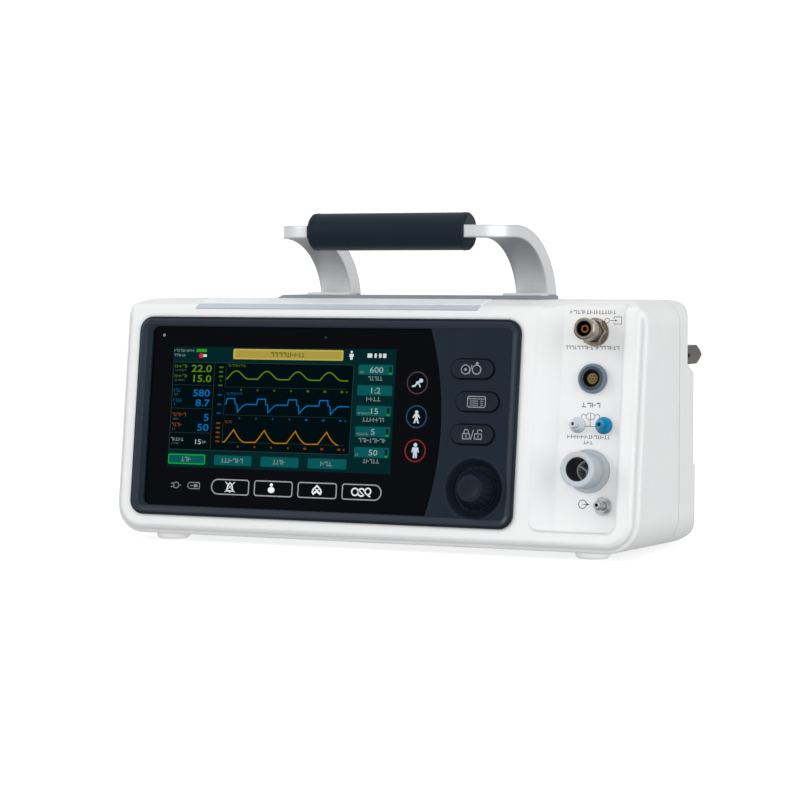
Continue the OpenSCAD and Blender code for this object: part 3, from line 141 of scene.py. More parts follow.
# The mottling is this much coarser than the grain, and the gloss varies by this share
MOTTLE_SCALE, GLOSS_SPREAD = 22, 0.12
# A rim shows where the rounded normal leaves the true one: from this dot product, fully at that
RIM_START, RIM_FULL = 0.995, 0.9
WORN_LIGHT, WORN_LIFT, WORN_DARK = 3, 0.02, 0.4
# Painted shade: faces that look down get a darker base colour from this slope of their normal, fully at that
SHADE_START, SHADE_FULL, SHADE_TONE = -0.12, -1.0, 0.1


def surface(name, colour, rough=0.4, grain=900.0, depth=0.00004, metal=0.0, spec=0.5, edge=0.0004,
            mottle=0.05, wear=0.0, streak=None, under=0.0):
    """Moulded, cast or turned material: fine grain, slight mottling, rounded edges and worn rims.

    depth is the grain's and edge the rounding's size, in metres. Wear above 0 lightens the rims and
    below 0 darkens them. Under paints shade into the base colour of faces that look down, in place of
    the dark room they would mirror.
    """
    material, nodes, links, shader = new_material(name)
    base = linear(colour)
    coords = node(nodes, "ShaderNodeTexCoord").outputs["Object"]
    if streak:
        stretch = node(nodes, "ShaderNodeMapping", Scale=streak)
        links.new(coords, stretch.inputs["Vector"])
        coords = stretch.outputs["Vector"]
    fine = node(nodes, "ShaderNodeTexNoise", Scale=grain, Detail=3.0, Roughness=0.55)
    broad = node(nodes, "ShaderNodeTexNoise", Scale=grain / MOTTLE_SCALE, Detail=2.0)
    tint = two_tone(nodes, toned(base, 1 - mottle), toned(base, 1 + mottle), 0.3, 0.7)
    soft = node(nodes, "ShaderNodeBevel", samples=4, Radius=edge)
    bump = node(nodes, "ShaderNodeBump", Strength=0.6, Distance=depth)
    shine = node(nodes, "ShaderNodeMapRange",
                 To_Min=rough * (1 - GLOSS_SPREAD), To_Max=rough * (1 + GLOSS_SPREAD))
    links.new(coords, fine.inputs["Vector"])
    links.new(coords, broad.inputs["Vector"])
    links.new(broad.outputs["Fac"], tint.inputs["Fac"])
    links.new(fine.outputs["Fac"], bump.inputs["Height"])
    links.new(soft.outputs["Normal"], bump.inputs["Normal"])
    links.new(bump.outputs["Normal"], shader.inputs["Normal"])
    links.new(fine.outputs["Fac"], shine.inputs["Value"])
    links.new(shine.outputs["Result"], shader.inputs["Roughness"])
    top = tint.outputs["Color"]
    if wear:
        flat = node(nodes, "ShaderNodeNewGeometry")
        dot = node(nodes, "ShaderNodeVectorMath", operation="DOT_PRODUCT")
        rim_share = node(nodes, "ShaderNodeMapRange",
                         From_Min=RIM_FULL, From_Max=RIM_START, To_Min=abs(wear), To_Max=0.0)
        links.new(flat.outputs["Normal"], dot.inputs[0])
        links.new(soft.outputs["Normal"], dot.inputs[1])
        links.new(dot.outputs["Value"], rim_share.inputs["Value"])
        worn = toned(base, WORN_LIGHT, WORN_LIFT) if wear > 0 else toned(base, WORN_DARK)
        top = mixed(nodes, links, rim_share.outputs["Result"], top, worn)
    # Painted shade: the base colour darkens on faces whose rounded normal looks down, standing in for the
    # dark room they would mirror
    if under:
        split = node(nodes, "ShaderNodeSeparateXYZ")
        down = node(nodes, "ShaderNodeMapRange", interpolation_type="SMOOTHSTEP",
                    From_Min=SHADE_FULL, From_Max=SHADE_START, To_Min=under, To_Max=0.0)
        links.new(soft.outputs["Normal"], split.inputs["Vector"])
        links.new(split.outputs["Z"], down.inputs["Value"])
        top = mixed(nodes, links, down.outputs["Result"], top, toned(base, SHADE_TONE))
    links.new(top, shader.inputs["Base Color"])
    shader.inputs["Metallic"].default_value = metal
    shader.inputs["Specular IOR Level"].default_value = spec
    return material


def printed(name, colour, mottle=0.05, rough=0.5):
    """Flat print."""
    return surface(name, colour, rough=rough, grain=1500, depth=0.00001, spec=0.2, edge=0.0001, mottle=mottle)


# Fineness of the display's dots, and how dim the gaps between them are
DOT_SCALE, DOT_DIM = 2600.0, 0.9


def glow(name, colour, power=1.0):
    """A lit mark on the screen: its light carries the faint grid of the display's dots."""
    material, nodes, links, shader = new_material(name)
    place = node(nodes, "ShaderNodeTexCoord")
    dots = node(nodes, "ShaderNodeTexNoise", Scale=DOT_SCALE, Detail=1.0)
    shade = two_tone(nodes, toned(linear(colour), DOT_DIM), linear(colour))
    links.new(place.outputs["Object"], dots.inputs["Vector"])
    links.new(dots.outputs["Fac"], shade.inputs["Fac"])
    links.new(shade.outputs["Color"], shader.inputs["Emission Color"])
    shader.inputs["Emission Strength"].default_value = power
    shader.inputs["Base Color"].default_value = (0, 0, 0, 1)
    shader.inputs["Specular IOR Level"].default_value = 0.0
    shader.inputs["Roughness"].default_value = 0.6
    return material


# Case, panel and handle
WHITE = surface("white_case", "#eceded", rough=0.42, grain=1400, depth=0.000008, spec=0.4, edge=0.0036,
                mottle=0.01)
WHITE_SOFT = surface("white_foot", "#f8f8f7", rough=0.6, grain=1200, spec=0.3, edge=0.0008, mottle=0.02)
SLATE = surface("slate_panel", "#18232f", rough=0.45, grain=1500, depth=0.00003, spec=0.13, edge=0.0009,
                wear=0.2)
RIM = surface("slate_rim", "#1c2835", rough=0.3, grain=1500, depth=0.00002, spec=0.4, edge=0.0009)
KEY = surface("slate_key", "#17222d", rough=0.5, grain=1700, depth=0.00003, spec=0.13, edge=0.0007,
              wear=0.2)
KNOB = surface("slate_knob", "#131d28", grain=1500, depth=0.00003, spec=0.2, mottle=0.06, wear=0.3)
GRIP = surface("soft_grip", "#121f2c", rough=0.36, grain=1100, spec=0.17, edge=0.0006, mottle=0.07)
GLASS = surface("touch_glass", "#06070b", rough=0.12, grain=500, depth=0.000002, spec=0.04, edge=0.0003)
# Painted shade: under darkens the handle's downward faces in its base colour
HANDLE = surface("silver_paint", "#e4e5e6", rough=0.36, grain=2200, depth=0.00001, metal=0.6, edge=0.0022,
                 mottle=0.02, under=0.64)
PLATE = surface("blue_grey_plate", "#8d949c", rough=0.5, grain=1300, depth=0.00003, spec=0.3, edge=0.0005)
TRIM_TOP = surface("light_trim", "#f0f3f6", rough=0.5, grain=1300, depth=0.00003, spec=0.3, mottle=0.02)
TRIM_LOW = surface("blue_grey_trim", "#bdc5cf", rough=0.5, grain=1300, depth=0.00003, spec=0.3, mottle=0.02)
# Metals, ports and inner pieces
# Painted shade: under darkens the downward faces of the nickel, gunmetal and chrome in their base colour
NICKEL = surface("nickel", "#a89d8f", rough=0.14, grain=500, depth=0.000003, metal=1.0, edge=0.0003,
                 mottle=0.12, under=0.85)
GUNMETAL = surface("gunmetal", "#4d443c", rough=0.22, grain=500, depth=0.000003, metal=1.0, mottle=0.2,
                   under=0.8)
CHROME = surface("chrome", "#d6d9db", rough=0.08, grain=400, depth=0.000002, metal=1.0, edge=0.0003,
                 mottle=0.03, under=0.95)
COPPER = surface("copper_core", "#b0713a", rough=0.25, depth=0.000004, metal=1.0, edge=0.0002, mottle=0.2,
                 wear=-0.5)
SOCKET = surface("socket_blue_grey", "#66788a", grain=1100, depth=0.00002, spec=0.45, wear=0.25)
# Painted shade: dark lining in the socket's well and the gas inlet's bore
WELL_SHADE = surface("painted_black_shade_lining", "#14181c", rough=0.55, grain=1100, depth=0.00002, spec=0.3,
                      edge=0.0003)
GOLD = surface("gold_insert", "#8d7a52", grain=1600, depth=0.00003, metal=0.8, edge=0.0002, mottle=0.2,
               wear=-0.4)
# Painted shade: under darkens the downward faces of the two luer ports in their base colour
LUER_WHITE = surface("luer_white", "#d2d6da", rough=0.2, depth=0.00001, edge=0.0003, mottle=0.02, under=0.6)
LUER_BLUE = surface("luer_blue", "#0083ae", rough=0.2, depth=0.00001, spec=0.32, edge=0.0003, mottle=0.04,
                    under=0.55)
PORT_GREY = surface("port_grey", "#b1b8be", rough=0.42, grain=1000, depth=0.00002, spec=0.4, edge=0.0005,
                    mottle=0.03)
STEEL = surface("bare_steel", "#b9bbbd", rough=0.3, depth=0.00002, metal=1.0, edge=0.0002, mottle=0.06,
                wear=-0.3)
ALLOY = surface("milled_alloy", "#c9cacb", rough=0.36, grain=700, depth=0.00003, metal=1.0, edge=0.0003,
                streak=(1, 8, 1))
BOARD = surface("green_board", "#14502f", rough=0.35, grain=1300, depth=0.00003, edge=0.0002, mottle=0.15)
BLACK = surface("black_plastic", "#17191b", rough=0.5, grain=1200, depth=0.00003, spec=0.3, mottle=0.1)
BRASS = surface("brass", "#b38a45", rough=0.32, depth=0.00002, metal=1.0, edge=0.0003, mottle=0.1)
BATTERY = surface("battery_wrap", "#33363a", rough=0.45, grain=600, depth=0.00005, spec=0.4, edge=0.001,
                  mottle=0.1)
FILTER = surface("filter_grey", "#c4c7c9", rough=0.5, grain=1000, depth=0.00003)
SENSOR = surface("sensor_blue", "#3b567c", grain=1000, depth=0.00003)
# Print and thin trim
PRINT = printed("grey_print", "#5c5f61", mottle=0.1, rough=0.6)
KEY_PRINT = printed("key_print", "#8f979e", mottle=0.06, rough=0.6)
LINE_PRINT = printed("glass_print", "#9a9ea3")
ICON_PRINT = printed("icon_print", "#e9ecef", mottle=0.04)
DIM_PRINT = printed("dim_print", "#80848a")
PANEL_EDGE = surface("panel_edge", "#141c25", rough=0.45, grain=1500, depth=0.00001, spec=0.2)
# Painted shadow: dark ink for the gaps round the keys and knob
SHADOW_INK = surface("key_gap", "#0b1016", rough=0.7, grain=1500, depth=0.00001, spec=0.1, edge=0.0001)
SEAT_LINE = surface("seat_line", "#1b222b", rough=0.5, grain=1500, depth=0.00001, spec=0.3, edge=0.0001)
SOCKET_RING = surface("socket_ring", "#39444f", rough=0.35, grain=1100, depth=0.000004, edge=0.0002)
# Painted shade: dark lining in the port's bore
PORT_BORE_SHADE = surface("painted_bore_shade_in_port", "#232b34", grain=1100, depth=0.000004, spec=0.4, edge=0.0002)
PORT_LIGHT = surface("port_light", "#bcc3c8", rough=0.38, grain=1000, depth=0.000004, spec=0.45,
                     mottle=0.03)
PALE_ICON = printed("pale_icon", "#c3d3de", mottle=0.04)
RINGS = [printed("ring_" + n, c) for n, c in (("plum", "#412e38"), ("blue", "#0b4063"), ("red", "#84140a"))]

# Colours of the lit screen
LIT = {name: glow("lit_" + name, colour) for name, colour in (
    ("page", "#04272a"), ("chart", "#020f12"), ("frame", "#2c3a3b"), ("box", "#0a5859"),
    ("banner", "#ab9a45"), ("banner_edge", "#c0ae4e"), ("green", "#5f8e12"), ("blue", "#0a6fb4"),
    ("orange", "#b9790c"), ("rust", "#9c4a0c"), ("white", "#b9c4c4"), ("grey", "#4b5857"),
    ("caption", "#7f8c8c"), ("value", "#9fb0b0"), ("green_dim", "#456a10"), ("blue_dim", "#0a4f82"),
    ("rust_dim", "#7f3f0c"), ("ink", "#57501f"), ("select", "#0ea62e"), ("battery", "#2c9a20"),
    ("red", "#e0262c"), ("dark", "#0b1212"), ("bright", "#d9dfdf"))}


def paint(material, *names):
    """Gives CAD nodes a material."""
    for name in names:
        target = frame["nodes"][name].data
        target.materials.clear()
        target.materials.append(material)


# ---------- making pieces ----------


def mesh_object(name, bm, material):
    """A mesh as its own object in the scene, in one material."""
    mesh = bpy.data.meshes.new(name)
    bm.to_mesh(mesh)
    bm.free()
    made = bpy.data.objects.new(name, mesh)
    bpy.context.scene.collection.objects.link(made)
    mesh.materials.append(material)
    return made


def piece(name, bm, material, body="housing", smooth=None):
    """A finished piece that rides on a CAD body; smooth is the angle above which its edges stay sharp."""
    bmesh.ops.recalc_face_normals(bm, faces=bm.faces)
    made = mesh_object(name, bm, material)
    if smooth is not None:
        for face in made.data.polygons:
            face.use_smooth = True
        made.data.set_sharp_from_angle(angle=math.radians(smooth))
    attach(made, body)
    return made


def rounded(u0, v0, u1, v1, r, steps=5):
    """Outline of a round-cornered rectangle; r is one radius, or four anticlockwise from the lower left."""
    radii = [r] * 4 if isinstance(r, (int, float)) else r
    corners = [(u0, v0, 180), (u1, v0, 270), (u1, v1, 0), (u0, v1, 90)]
    points = []
    for (u, v, start), radius in zip(corners, radii):
        cu = u + radius if u == u0 else u - radius
        cv = v + radius if v == v0 else v - radius
        for i in range(steps + 1):
            a = math.radians(start + 90 * i / steps)
            points.append((cu + radius * math.cos(a), cv + radius * math.sin(a)))
    return points


def arc(cu, cv, r, a0, a1, steps=24, squash=1.0):
    """Points on an arc, in degrees."""
    return [(cu + r * math.cos(math.radians(a0 + (a1 - a0) * i / steps)),
             cv + r * squash * math.sin(math.radians(a0 + (a1 - a0) * i / steps))) for i in range(steps + 1)]


def around(cu, cv, points):
    """Points given from a centre, moved to it."""
    return [(cu + u, cv + v) for u, v in points]


# A stroke's mitre reaches no further than this share of a straight cut would allow
MITRE_LIMIT = 0.35


class Ink:
    """Flat shapes on the panel, in millimetres, that become one thin closed mesh."""

    def __init__(self):
        self.faces = []

    def area(self, points):
        self.faces.append(list(points))

    def bar(self, u0, v0, u1, v1, r=0.0):
        self.area(rounded(u0, v0, u1, v1, r) if r else [(u0, v0), (u1, v0), (u1, v1), (u0, v1)])

    def disc(self, cu, cv, r, squash=1.0):
        self.area(arc(cu, cv, r, 0, 360, 24, squash)[:-1])

    def line(self, points, width, closed=False):
        """A stroke with mitred corners."""
        count = len(points)
        left, right = [], []
        for i, point in enumerate(points):
            before = points[i - 1] if i or closed else point
            after = points[(i + 1) % count] if i < count - 1 or closed else point
            a = Vector(point) - Vector(before)
            b = Vector(after) - Vector(point)
            a = a.normalized() if a.length > 1e-9 else b.normalized()
            b = b.normalized() if b.length > 1e-9 else a
            along = (a + b).normalized() if (a + b).length > 1e-6 else a
            across = Vector((-along.y, along.x))
            reach = width / 2 / max(MITRE_LIMIT, across.dot(Vector((-a.y, a.x))))
            left.append(Vector(point) + across * reach)
            right.append(Vector(point) - across * reach)
        for i in range(count if closed else count - 1):
            k = (i + 1) % count
            self.faces.append([left[i], right[i], right[k], left[k]])

    def ring(self, cu, cv, r, width, a0=0, a1=360, squash=1.0):
        points = arc(cu, cv, r, a0, a1, 32, squash)
        if a1 - a0 == 360:
            self.line(points[:-1], width, closed=True)
        else:
            self.line(points, width)

    def shrink(self, cu, cv, factor):
        """Draws everything so far smaller about one point."""
        self.faces = [[(cu + (p[0] - cu) * factor, cv + (p[1] - cv) * factor) for p in face]
                      for face in self.faces]

    def words(self, u0, u1, v, height, seed, gap=0.5):
        """A row of plain strokes, where the object has small print."""
        rng = random.Random(seed)
        u = u0
        while u < u1 - height * 0.4:
            width = min(height * rng.uniform(0.5, 0.95), u1 - u)
            low = v - height / 2
            kind = rng.randrange(3)
            thin = height * 0.2
            if kind == 0:
                self.bar(u, low, u + thin, low + height)
                self.bar(u + thin * 1.6, low + height * 0.4, u + width, low + height * 0.4 + thin)
            elif kind == 1:
                self.bar(u, low, u + width, low + thin)
                self.bar(u + width * 0.3, low + thin * 1.5, u + width * 0.3 + thin, low + height)
            else:
                self.bar(u, low + height * 0.75, u + width, low + height)
                self.bar(u + width - thin, low, u + width, low + height * 0.65)
            u += width + height * gap * 0.6

    def make(self, name, material, w, slot, body="housing"):
        bm = bmesh.new()
        for face in self.faces:
            bm.faces.new([bm.verts.new(panel(p[0], p[1], w)) for p in face])
        bmesh.ops.remove_doubles(bm, verts=bm.verts, dist=1e-6)
        grown = bmesh.ops.extrude_face_region(bm, geom=bm.faces[:], use_keep_orig=True)
        raised = [g for g in grown["geom"] if isinstance(g, bmesh.types.BMVert)]
        bmesh.ops.translate(bm, vec=OUT * INK * MM, verts=raised)
        return piece(name, bm, material, body)


# Numerals: how much wider than the font's own, and their height as a share of the font's size
DIGIT_WIDTH, READING_WIDTH, DIGIT_SHARE = 1.24, 1.36, 0.73


def numbers(name, items, material, w, bold=0.0, wide=DIGIT_WIDTH):
    """Numerals on the panel: each item is (text, u, v of the foot, height, side it is lined up on)."""
    bm = bmesh.new()
    for text, u, v, height, side in items:
        curve = bpy.data.curves.new(name, "FONT")
        curve.body = text
        curve.size = height / DIGIT_SHARE * MM
        curve.align_x = side
        curve.extrude = INK / 2 * MM
        curve.offset = bold * MM
        curve.resolution_u = 3
        holder = bpy.data.objects.new(name + "_text", curve)
        bpy.context.scene.collection.objects.link(holder)
        turn = Matrix((SIDE * wide, UP, OUT)).transposed().to_4x4()
        holder.matrix_world = Matrix.Translation(panel(u, v, w + INK / 2)) @ turn
        bpy.context.view_layer.update()
        shown = holder.evaluated_get(bpy.context.evaluated_depsgraph_get())
        shape = bpy.data.meshes.new_from_object(shown)
        shape.transform(holder.matrix_world)
        bm.from_mesh(shape)
        bpy.data.objects.remove(holder)
        bpy.data.meshes.remove(shape)
    bmesh.ops.remove_doubles(bm, verts=bm.verts, dist=1e-7)
    return piece(name, bm, material)


# A turned shape's corners around its axis, and the angle above which its edges stay sharp
LATHE_STEPS, LATHE_SMOOTH = 96, 35


def lathe(name, profile, centre, axis, material):
    """A turned shape: profile is (distance along the axis, radius) in millimetres."""
    axis = Vector(axis).normalized()
    first = axis.orthogonal().normalized()
    second = axis.cross(first)
    bm = bmesh.new()
    rings = []
    for along, radius in profile:
        ring = []
        for i in range(LATHE_STEPS):
            a = 2 * math.pi * i / LATHE_STEPS
            across = (first * math.cos(a) + second * math.sin(a)) * radius
            ring.append(bm.verts.new(centre + (axis * along + across) * MM))
        rings.append(ring)
    for low, high in zip(rings, rings[1:]):
        for i in range(LATHE_STEPS):
            k = (i + 1) % LATHE_STEPS
            bm.faces.new([low[i], low[k], high[k], high[i]])
    return piece(name, bm, material, smooth=LATHE_SMOOTH)


# ---------- camera, light and floor ----------

# The lens fitted to the photo, in millimetres on FILM; REACH is in metres, angles in degrees
FOCAL, FILM = 114.73, 36
HEADING, DIP = 24.0, 2.916
REACH = 1.7027
AIM = Vector((-3.9, -2.6, -14.8)) * MM


def camera():
    data = bpy.data.cameras.new("camera")
    data.lens, data.sensor_width = FOCAL, FILM
    data.clip_start, data.clip_end = 0.05, 60
    made = bpy.data.objects.new("camera", data)
    bpy.context.scene.collection.objects.link(made)
    heading, dip = math.radians(HEADING), math.radians(DIP)
    gaze = Vector((-math.sin(heading) * math.cos(dip), math.cos(heading) * math.cos(dip), -math.sin(dip)))
    made.location = (cad_box[0] + cad_box[1]) / 2 + AIM - gaze * REACH
    made.rotation_mode = "QUATERNION"
    made.rotation_quaternion = gaze.to_track_quat("-Z", "Y")
    bpy.context.scene.camera = made


LIGHT_TARGET = Vector((0, 0, 0.1))


def area_light(name, place, size, power, mirrored=False):
    """A round soft light; only a mirrored one shows in shiny surfaces."""
    data = bpy.data.lights.new(name, "AREA")
    data.shape, data.size, data.energy = "DISK", size, power
    made = bpy.data.objects.new(name, data)
    bpy.context.scene.collection.objects.link(made)
    made.location = place
    made.rotation_euler = (LIGHT_TARGET - Vector(place)).to_track_quat("-Z", "Y").to_euler()
    made.visible_glossy = mirrored


# Grey levels of the studio from straight below (0) upwards; straight overhead (1) the ramp ends in white
SKY = ((0.0, 0.46), (0.43, 0.6), (0.53, 0.76), (0.7, 0.44))
SKY_BLUE = 1.01


def sky():
    """Studio light: grey from below, bright round the horizon, dimmer above it and white overhead."""
    world = bpy.data.worlds.new("studio")
    bpy.context.scene.world = world
    world.use_nodes = True
    nodes, links = world.node_tree.nodes, world.node_tree.links
    place = node(nodes, "ShaderNodeTexCoord")
    split = node(nodes, "ShaderNodeSeparateXYZ")
    height = node(nodes, "ShaderNodeMapRange", From_Min=-1)
    ramp = node(nodes, "ShaderNodeValToRGB")
    for position, level in SKY:
        stop = ramp.color_ramp.elements[0] if position == 0 else ramp.color_ramp.elements.new(position)
        stop.color = (level, level, level * SKY_BLUE, 1)
    links.new(place.outputs["Generated"], split.inputs["Vector"])
    links.new(split.outputs["Z"], height.inputs["Value"])
    links.new(height.outputs["Result"], ramp.inputs["Fac"])
    links.new(ramp.outputs["Color"], nodes["Background"].inputs["Color"])


FLOOR_RADIUS, SURROUND_RADIUS, SURROUND_POWER = 14, 15, 1.2
# The floor goes from lit paper to plain white between these distances, in metres
FLOOR_NEAR, FLOOR_FAR = 0.45, 1.2
PAPER_TONES, PAPER_LIFT, PAPER_WHITE = (0.55, 0.57), 0.62, 1.1


def floor_material():
    """Pale paper: a soft shadow near the ventilator, pure white further out."""
    material, nodes, links, shader = new_material("pale_floor")
    place = node(nodes, "ShaderNodeTexCoord")
    reach = node(nodes, "ShaderNodeVectorMath", operation="LENGTH")
    fade = node(nodes, "ShaderNodeMapRange", interpolation_type="SMOOTHSTEP",
                From_Min=FLOOR_NEAR, From_Max=FLOOR_FAR)
    fibre = node(nodes, "ShaderNodeTexNoise", Scale=70.0, Detail=2.0)
    tone = two_tone(nodes, *((grey, grey, grey, 1) for grey in PAPER_TONES))
    paper = node(nodes, "ShaderNodeEmission", Strength=PAPER_WHITE)
    blend = node(nodes, "ShaderNodeMixShader")
    links.new(place.outputs["Object"], reach.inputs[0])
    links.new(place.outputs["Object"], fibre.inputs["Vector"])
    links.new(reach.outputs["Value"], fade.inputs["Value"])
    links.new(fibre.outputs["Fac"], tone.inputs["Fac"])
    links.new(tone.outputs["Color"], shader.inputs["Base Color"])
    shader.inputs["Roughness"].default_value = 0.8
    shader.inputs["Specular IOR Level"].default_value = 0.0
    shader.inputs["Emission Color"].default_value = (1, 1, 1, 1)
    shader.inputs["Emission Strength"].default_value = PAPER_LIFT
    links.new(fade.outputs["Result"], blend.inputs["Fac"])
    links.new(shader.outputs["BSDF"], blend.inputs[1])
    links.new(paper.outputs["Emission"], blend.inputs[2])
    links.new(blend.outputs["Shader"], nodes["Material Output"].inputs["Surface"])
    return material


def stage_piece(name, bm, material, unseen):
    """A piece of the studio, left out of the named kinds of ray."""
    made = mesh_object(name, bm, material)
    for ray in unseen:
        setattr(made, "visible_" + ray, False)
    return made


def stage():
    """Pale floor, white surround that only the camera sees, and soft light."""
    bpy.context.scene.view_settings.view_transform = "Standard"
    sky()
    bm = bmesh.new()
    bmesh.ops.create_circle(bm, cap_ends=True, segments=96, radius=FLOOR_RADIUS)
    floor = stage_piece("floor", bm, floor_material(), ("diffuse", "glossy"))
    bm = bmesh.new()
    bmesh.ops.create_uvsphere(bm, u_segments=48, v_segments=24, radius=SURROUND_RADIUS)
    dome = stage_piece("surround", bm, glow("surround_white", "#ffffff", SURROUND_POWER),
                       ("diffuse", "glossy", "transmission", "shadow", "volume_scatter"))
    area_light("key", (-2.1, -1.5, 1.2), 1.2, 18, mirrored=True)
    area_light("fill", (2.2, -0.8, 0.6), 2.4, 18, mirrored=True)
    area_light("low", (0.7, -2.0, 0.22), 0.7, 12)
    area_light("back", (-0.9, 2.0, 0.9), 1.4, 15)


camera()
stage()

# ---------- casing, fittings and inner pieces keep their CAD shapes ----------

paint(WHITE, "front_case", "rear_cover", "battery_door", "handle_fairings")
paint(WHITE_SOFT, "feet")
paint(SLATE, "control_bezel")
paint(KEY, "standby_key", "menu_key", "lock_key")
paint(KNOB, "knob")
paint(GLASS, "display_glass")
paint(HANDLE, "handle")
paint(GRIP, "handle_grip")
paint(PLATE, "handle_plate")
paint(TRIM_TOP, "top_trim_upper")
paint(TRIM_LOW, "top_trim_lower")
paint(NICKEL, "gas_inlet")
paint(CHROME, "sample_port")
paint(GUNMETAL, "rear_gas_fitting")
paint(COPPER, "gas_inlet_core")
paint(SOCKET, "sensor_socket")
paint(GOLD, "sensor_socket_pins", "encoder_plunger")
paint(LUER_WHITE, "pressure_port_white")
paint(LUER_BLUE, "pressure_port_blue")
paint(PORT_GREY, "insp_port")
paint(PORT_LIGHT, "insp_port_vanes")
paint(STEEL, "case_screws", "handle_screws", "bracket_screws", "manifold_screws", "door_screws",
      "encoder_shaft", "insp_valve_plunger", "fresh_valve_plunger", "display_bracket")
paint(ALLOY, "valve_manifold", "heat_sink", "chassis_plate", "lcd_module")
paint(BOARD, "main_board", "keypad_board", "power_board")
paint(BLACK, "insp_valve_coil", "fresh_valve_coil", "encoder_body", "speaker", "fan_frame", "fan_rotor",
      "power_inlet")
paint(BRASS, "pressure_regulator")
paint(BATTERY, "battery_pack")
paint(FILTER, "inlet_filter", "port_tubes")
paint(SENSOR, "flow_sensor")

# ---------- the lit screen ----------

# Places on the panel, in millimetres: areas are left, low, right and high
SCREEN = (-112.0, 32.4, 51.4, 113.0)
CHART = (-111.6, 43.9, 21.8, 102.7)
CHART_EDGE = 0.35
BANNER_EDGE = (-67.0, 105.1, 13.7, 112.0)
BANNER = (-65.3, 106.2, 12.0, 110.9)
# The lit marks lie in thin layers, LEVEL apart
SCREEN_W = GLASS_W + 0.02
LEVEL = 0.04
# Right edge of the column of readings, the lines between its rows, and the charts' upright and lying axes
COLUMN_U = -80.4
ROW_VS = (87.3, 71.6, 55.4)
AXIS_SPANS = ((85.8, 99.9), (67.2, 81.2), (49.2, 62.5))
UPRIGHT_AXIS, LYING_AXIS = (-71.8, -71.55), (-71.2, 17.5)


def lit(ink, name, colour, level):
    return ink.make("screen_" + name, LIT[colour], SCREEN_W + LEVEL * level, "touch_glass")


def screen_ground():
    page = Ink()
    page.bar(*SCREEN)
    lit(page, "page", "page", 0)
    border = Ink()
    border.bar(*CHART, r=1.6)
    lit(border, "chart_frame", "frame", 1)
    chart = Ink()
    chart.bar(*[c + d for c, d in zip(CHART, (CHART_EDGE, CHART_EDGE, -CHART_EDGE, -CHART_EDGE))], r=1.3)
    lit(chart, "chart", "chart", 2)
    lines = Ink()
    lines.bar(COLUMN_U - 0.15, CHART[1] + 0.4, COLUMN_U + 0.15, CHART[3] - 0.4)
    for v in ROW_VS:
        lines.bar(CHART[0] + 0.5, v - 0.12, COLUMN_U - 0.3, v + 0.12)
    for low, high in AXIS_SPANS:
        lines.bar(UPRIGHT_AXIS[0], low, UPRIGHT_AXIS[1], high)
        lines.bar(LYING_AXIS[0], low + 0.6, LYING_AXIS[1], low + 0.8)
    lit(lines, "chart_lines", "frame", 3)


def screen_banner():
    edge = Ink()
    edge.bar(*BANNER_EDGE, r=0.9)
    lit(edge, "banner_edge", "banner_edge", 1)
    fill = Ink()
    fill.bar(*BANNER)
    lit(fill, "banner", "banner", 2)
    words = Ink()
    words.words(-39.0, -14.6, 108.5, 3.0, 5, gap=0.35)
    lit(words, "banner_words", "ink", 3)


# Four breaths side by side, CYCLE apart; the places are the first breath's
BREATHS, CYCLE, TRACE_WIDTH = 4, 22.75, 0.68
# Pressure: a rounded hump, which rises and falls over these shares of its length
HUMP_U, HUMP_V, HUMP_LENGTH, HUMP_HEIGHT, HUMP_STEPS = -70.4, 92.0, 15.6, 5.3, 12
HUMP_RISE, HUMP_FALL = 0.42, 0.58
# Flow: a square breath in and a sharp breath out that fades
FLOW_SHAPE = ((-70.3, 75.2), (-69.7, 78.8), (-63.9, 78.9), (-63.6, 75.6), (-62.2, 75.0), (-61.5, 70.0))
FLOW_FADE = (-61.5, 75.2, 6.2, -5.2, 1.5, (0.2, 0.4, 0.6, 0.8, 1.0))
# Carbon dioxide: a straight rise and a curved fall
GAS_SHAPE = ((-69.8, 50.2), (-68.9, 51.2), (-63.5, 58.3))
GAS_FADE = (-63.5, 50.0, 8.6, 8.2, 1.7, (0.15, 0.3, 0.45, 0.6, 0.8, 1.0))
# Numbers along the charts: colour, heights of those beside the upright axis, height of those below, title
TICK_U, TICK_HALF, FOOT_U, FOOT_STEP, FOOT_HALF = -75.3, 0.5, -59.7, 12.3, 0.65
TICKS = (("green", (99.5, 96.4, 93.4, 90.6, 87.5), 84.7, (-70.5, -56.8, 100.8)),
         ("blue", (81.1, 74.8, 68.9), 65.9, (-70.6, -58.5, 82.0)),
         ("rust", (62.3, 59.2, 56.1, 53.0, 50.2), 47.1, (-70.8, -65.1, 63.3)))


def hump(t):
    """Height of the pressure's hump, from 0 to 1, at a share of its length."""
    if t < HUMP_RISE:
        return math.sin(math.pi / 2 * (t / HUMP_RISE))
    return 0.5 + 0.5 * math.cos(math.pi * (t - HUMP_RISE) / HUMP_FALL)


def fading(move, u, v, length, drop, power, shares):
    """A curve that comes back to v from `drop` away."""
    return [(u + move + length * t, v + drop * (1 - t) ** power) for t in shares]


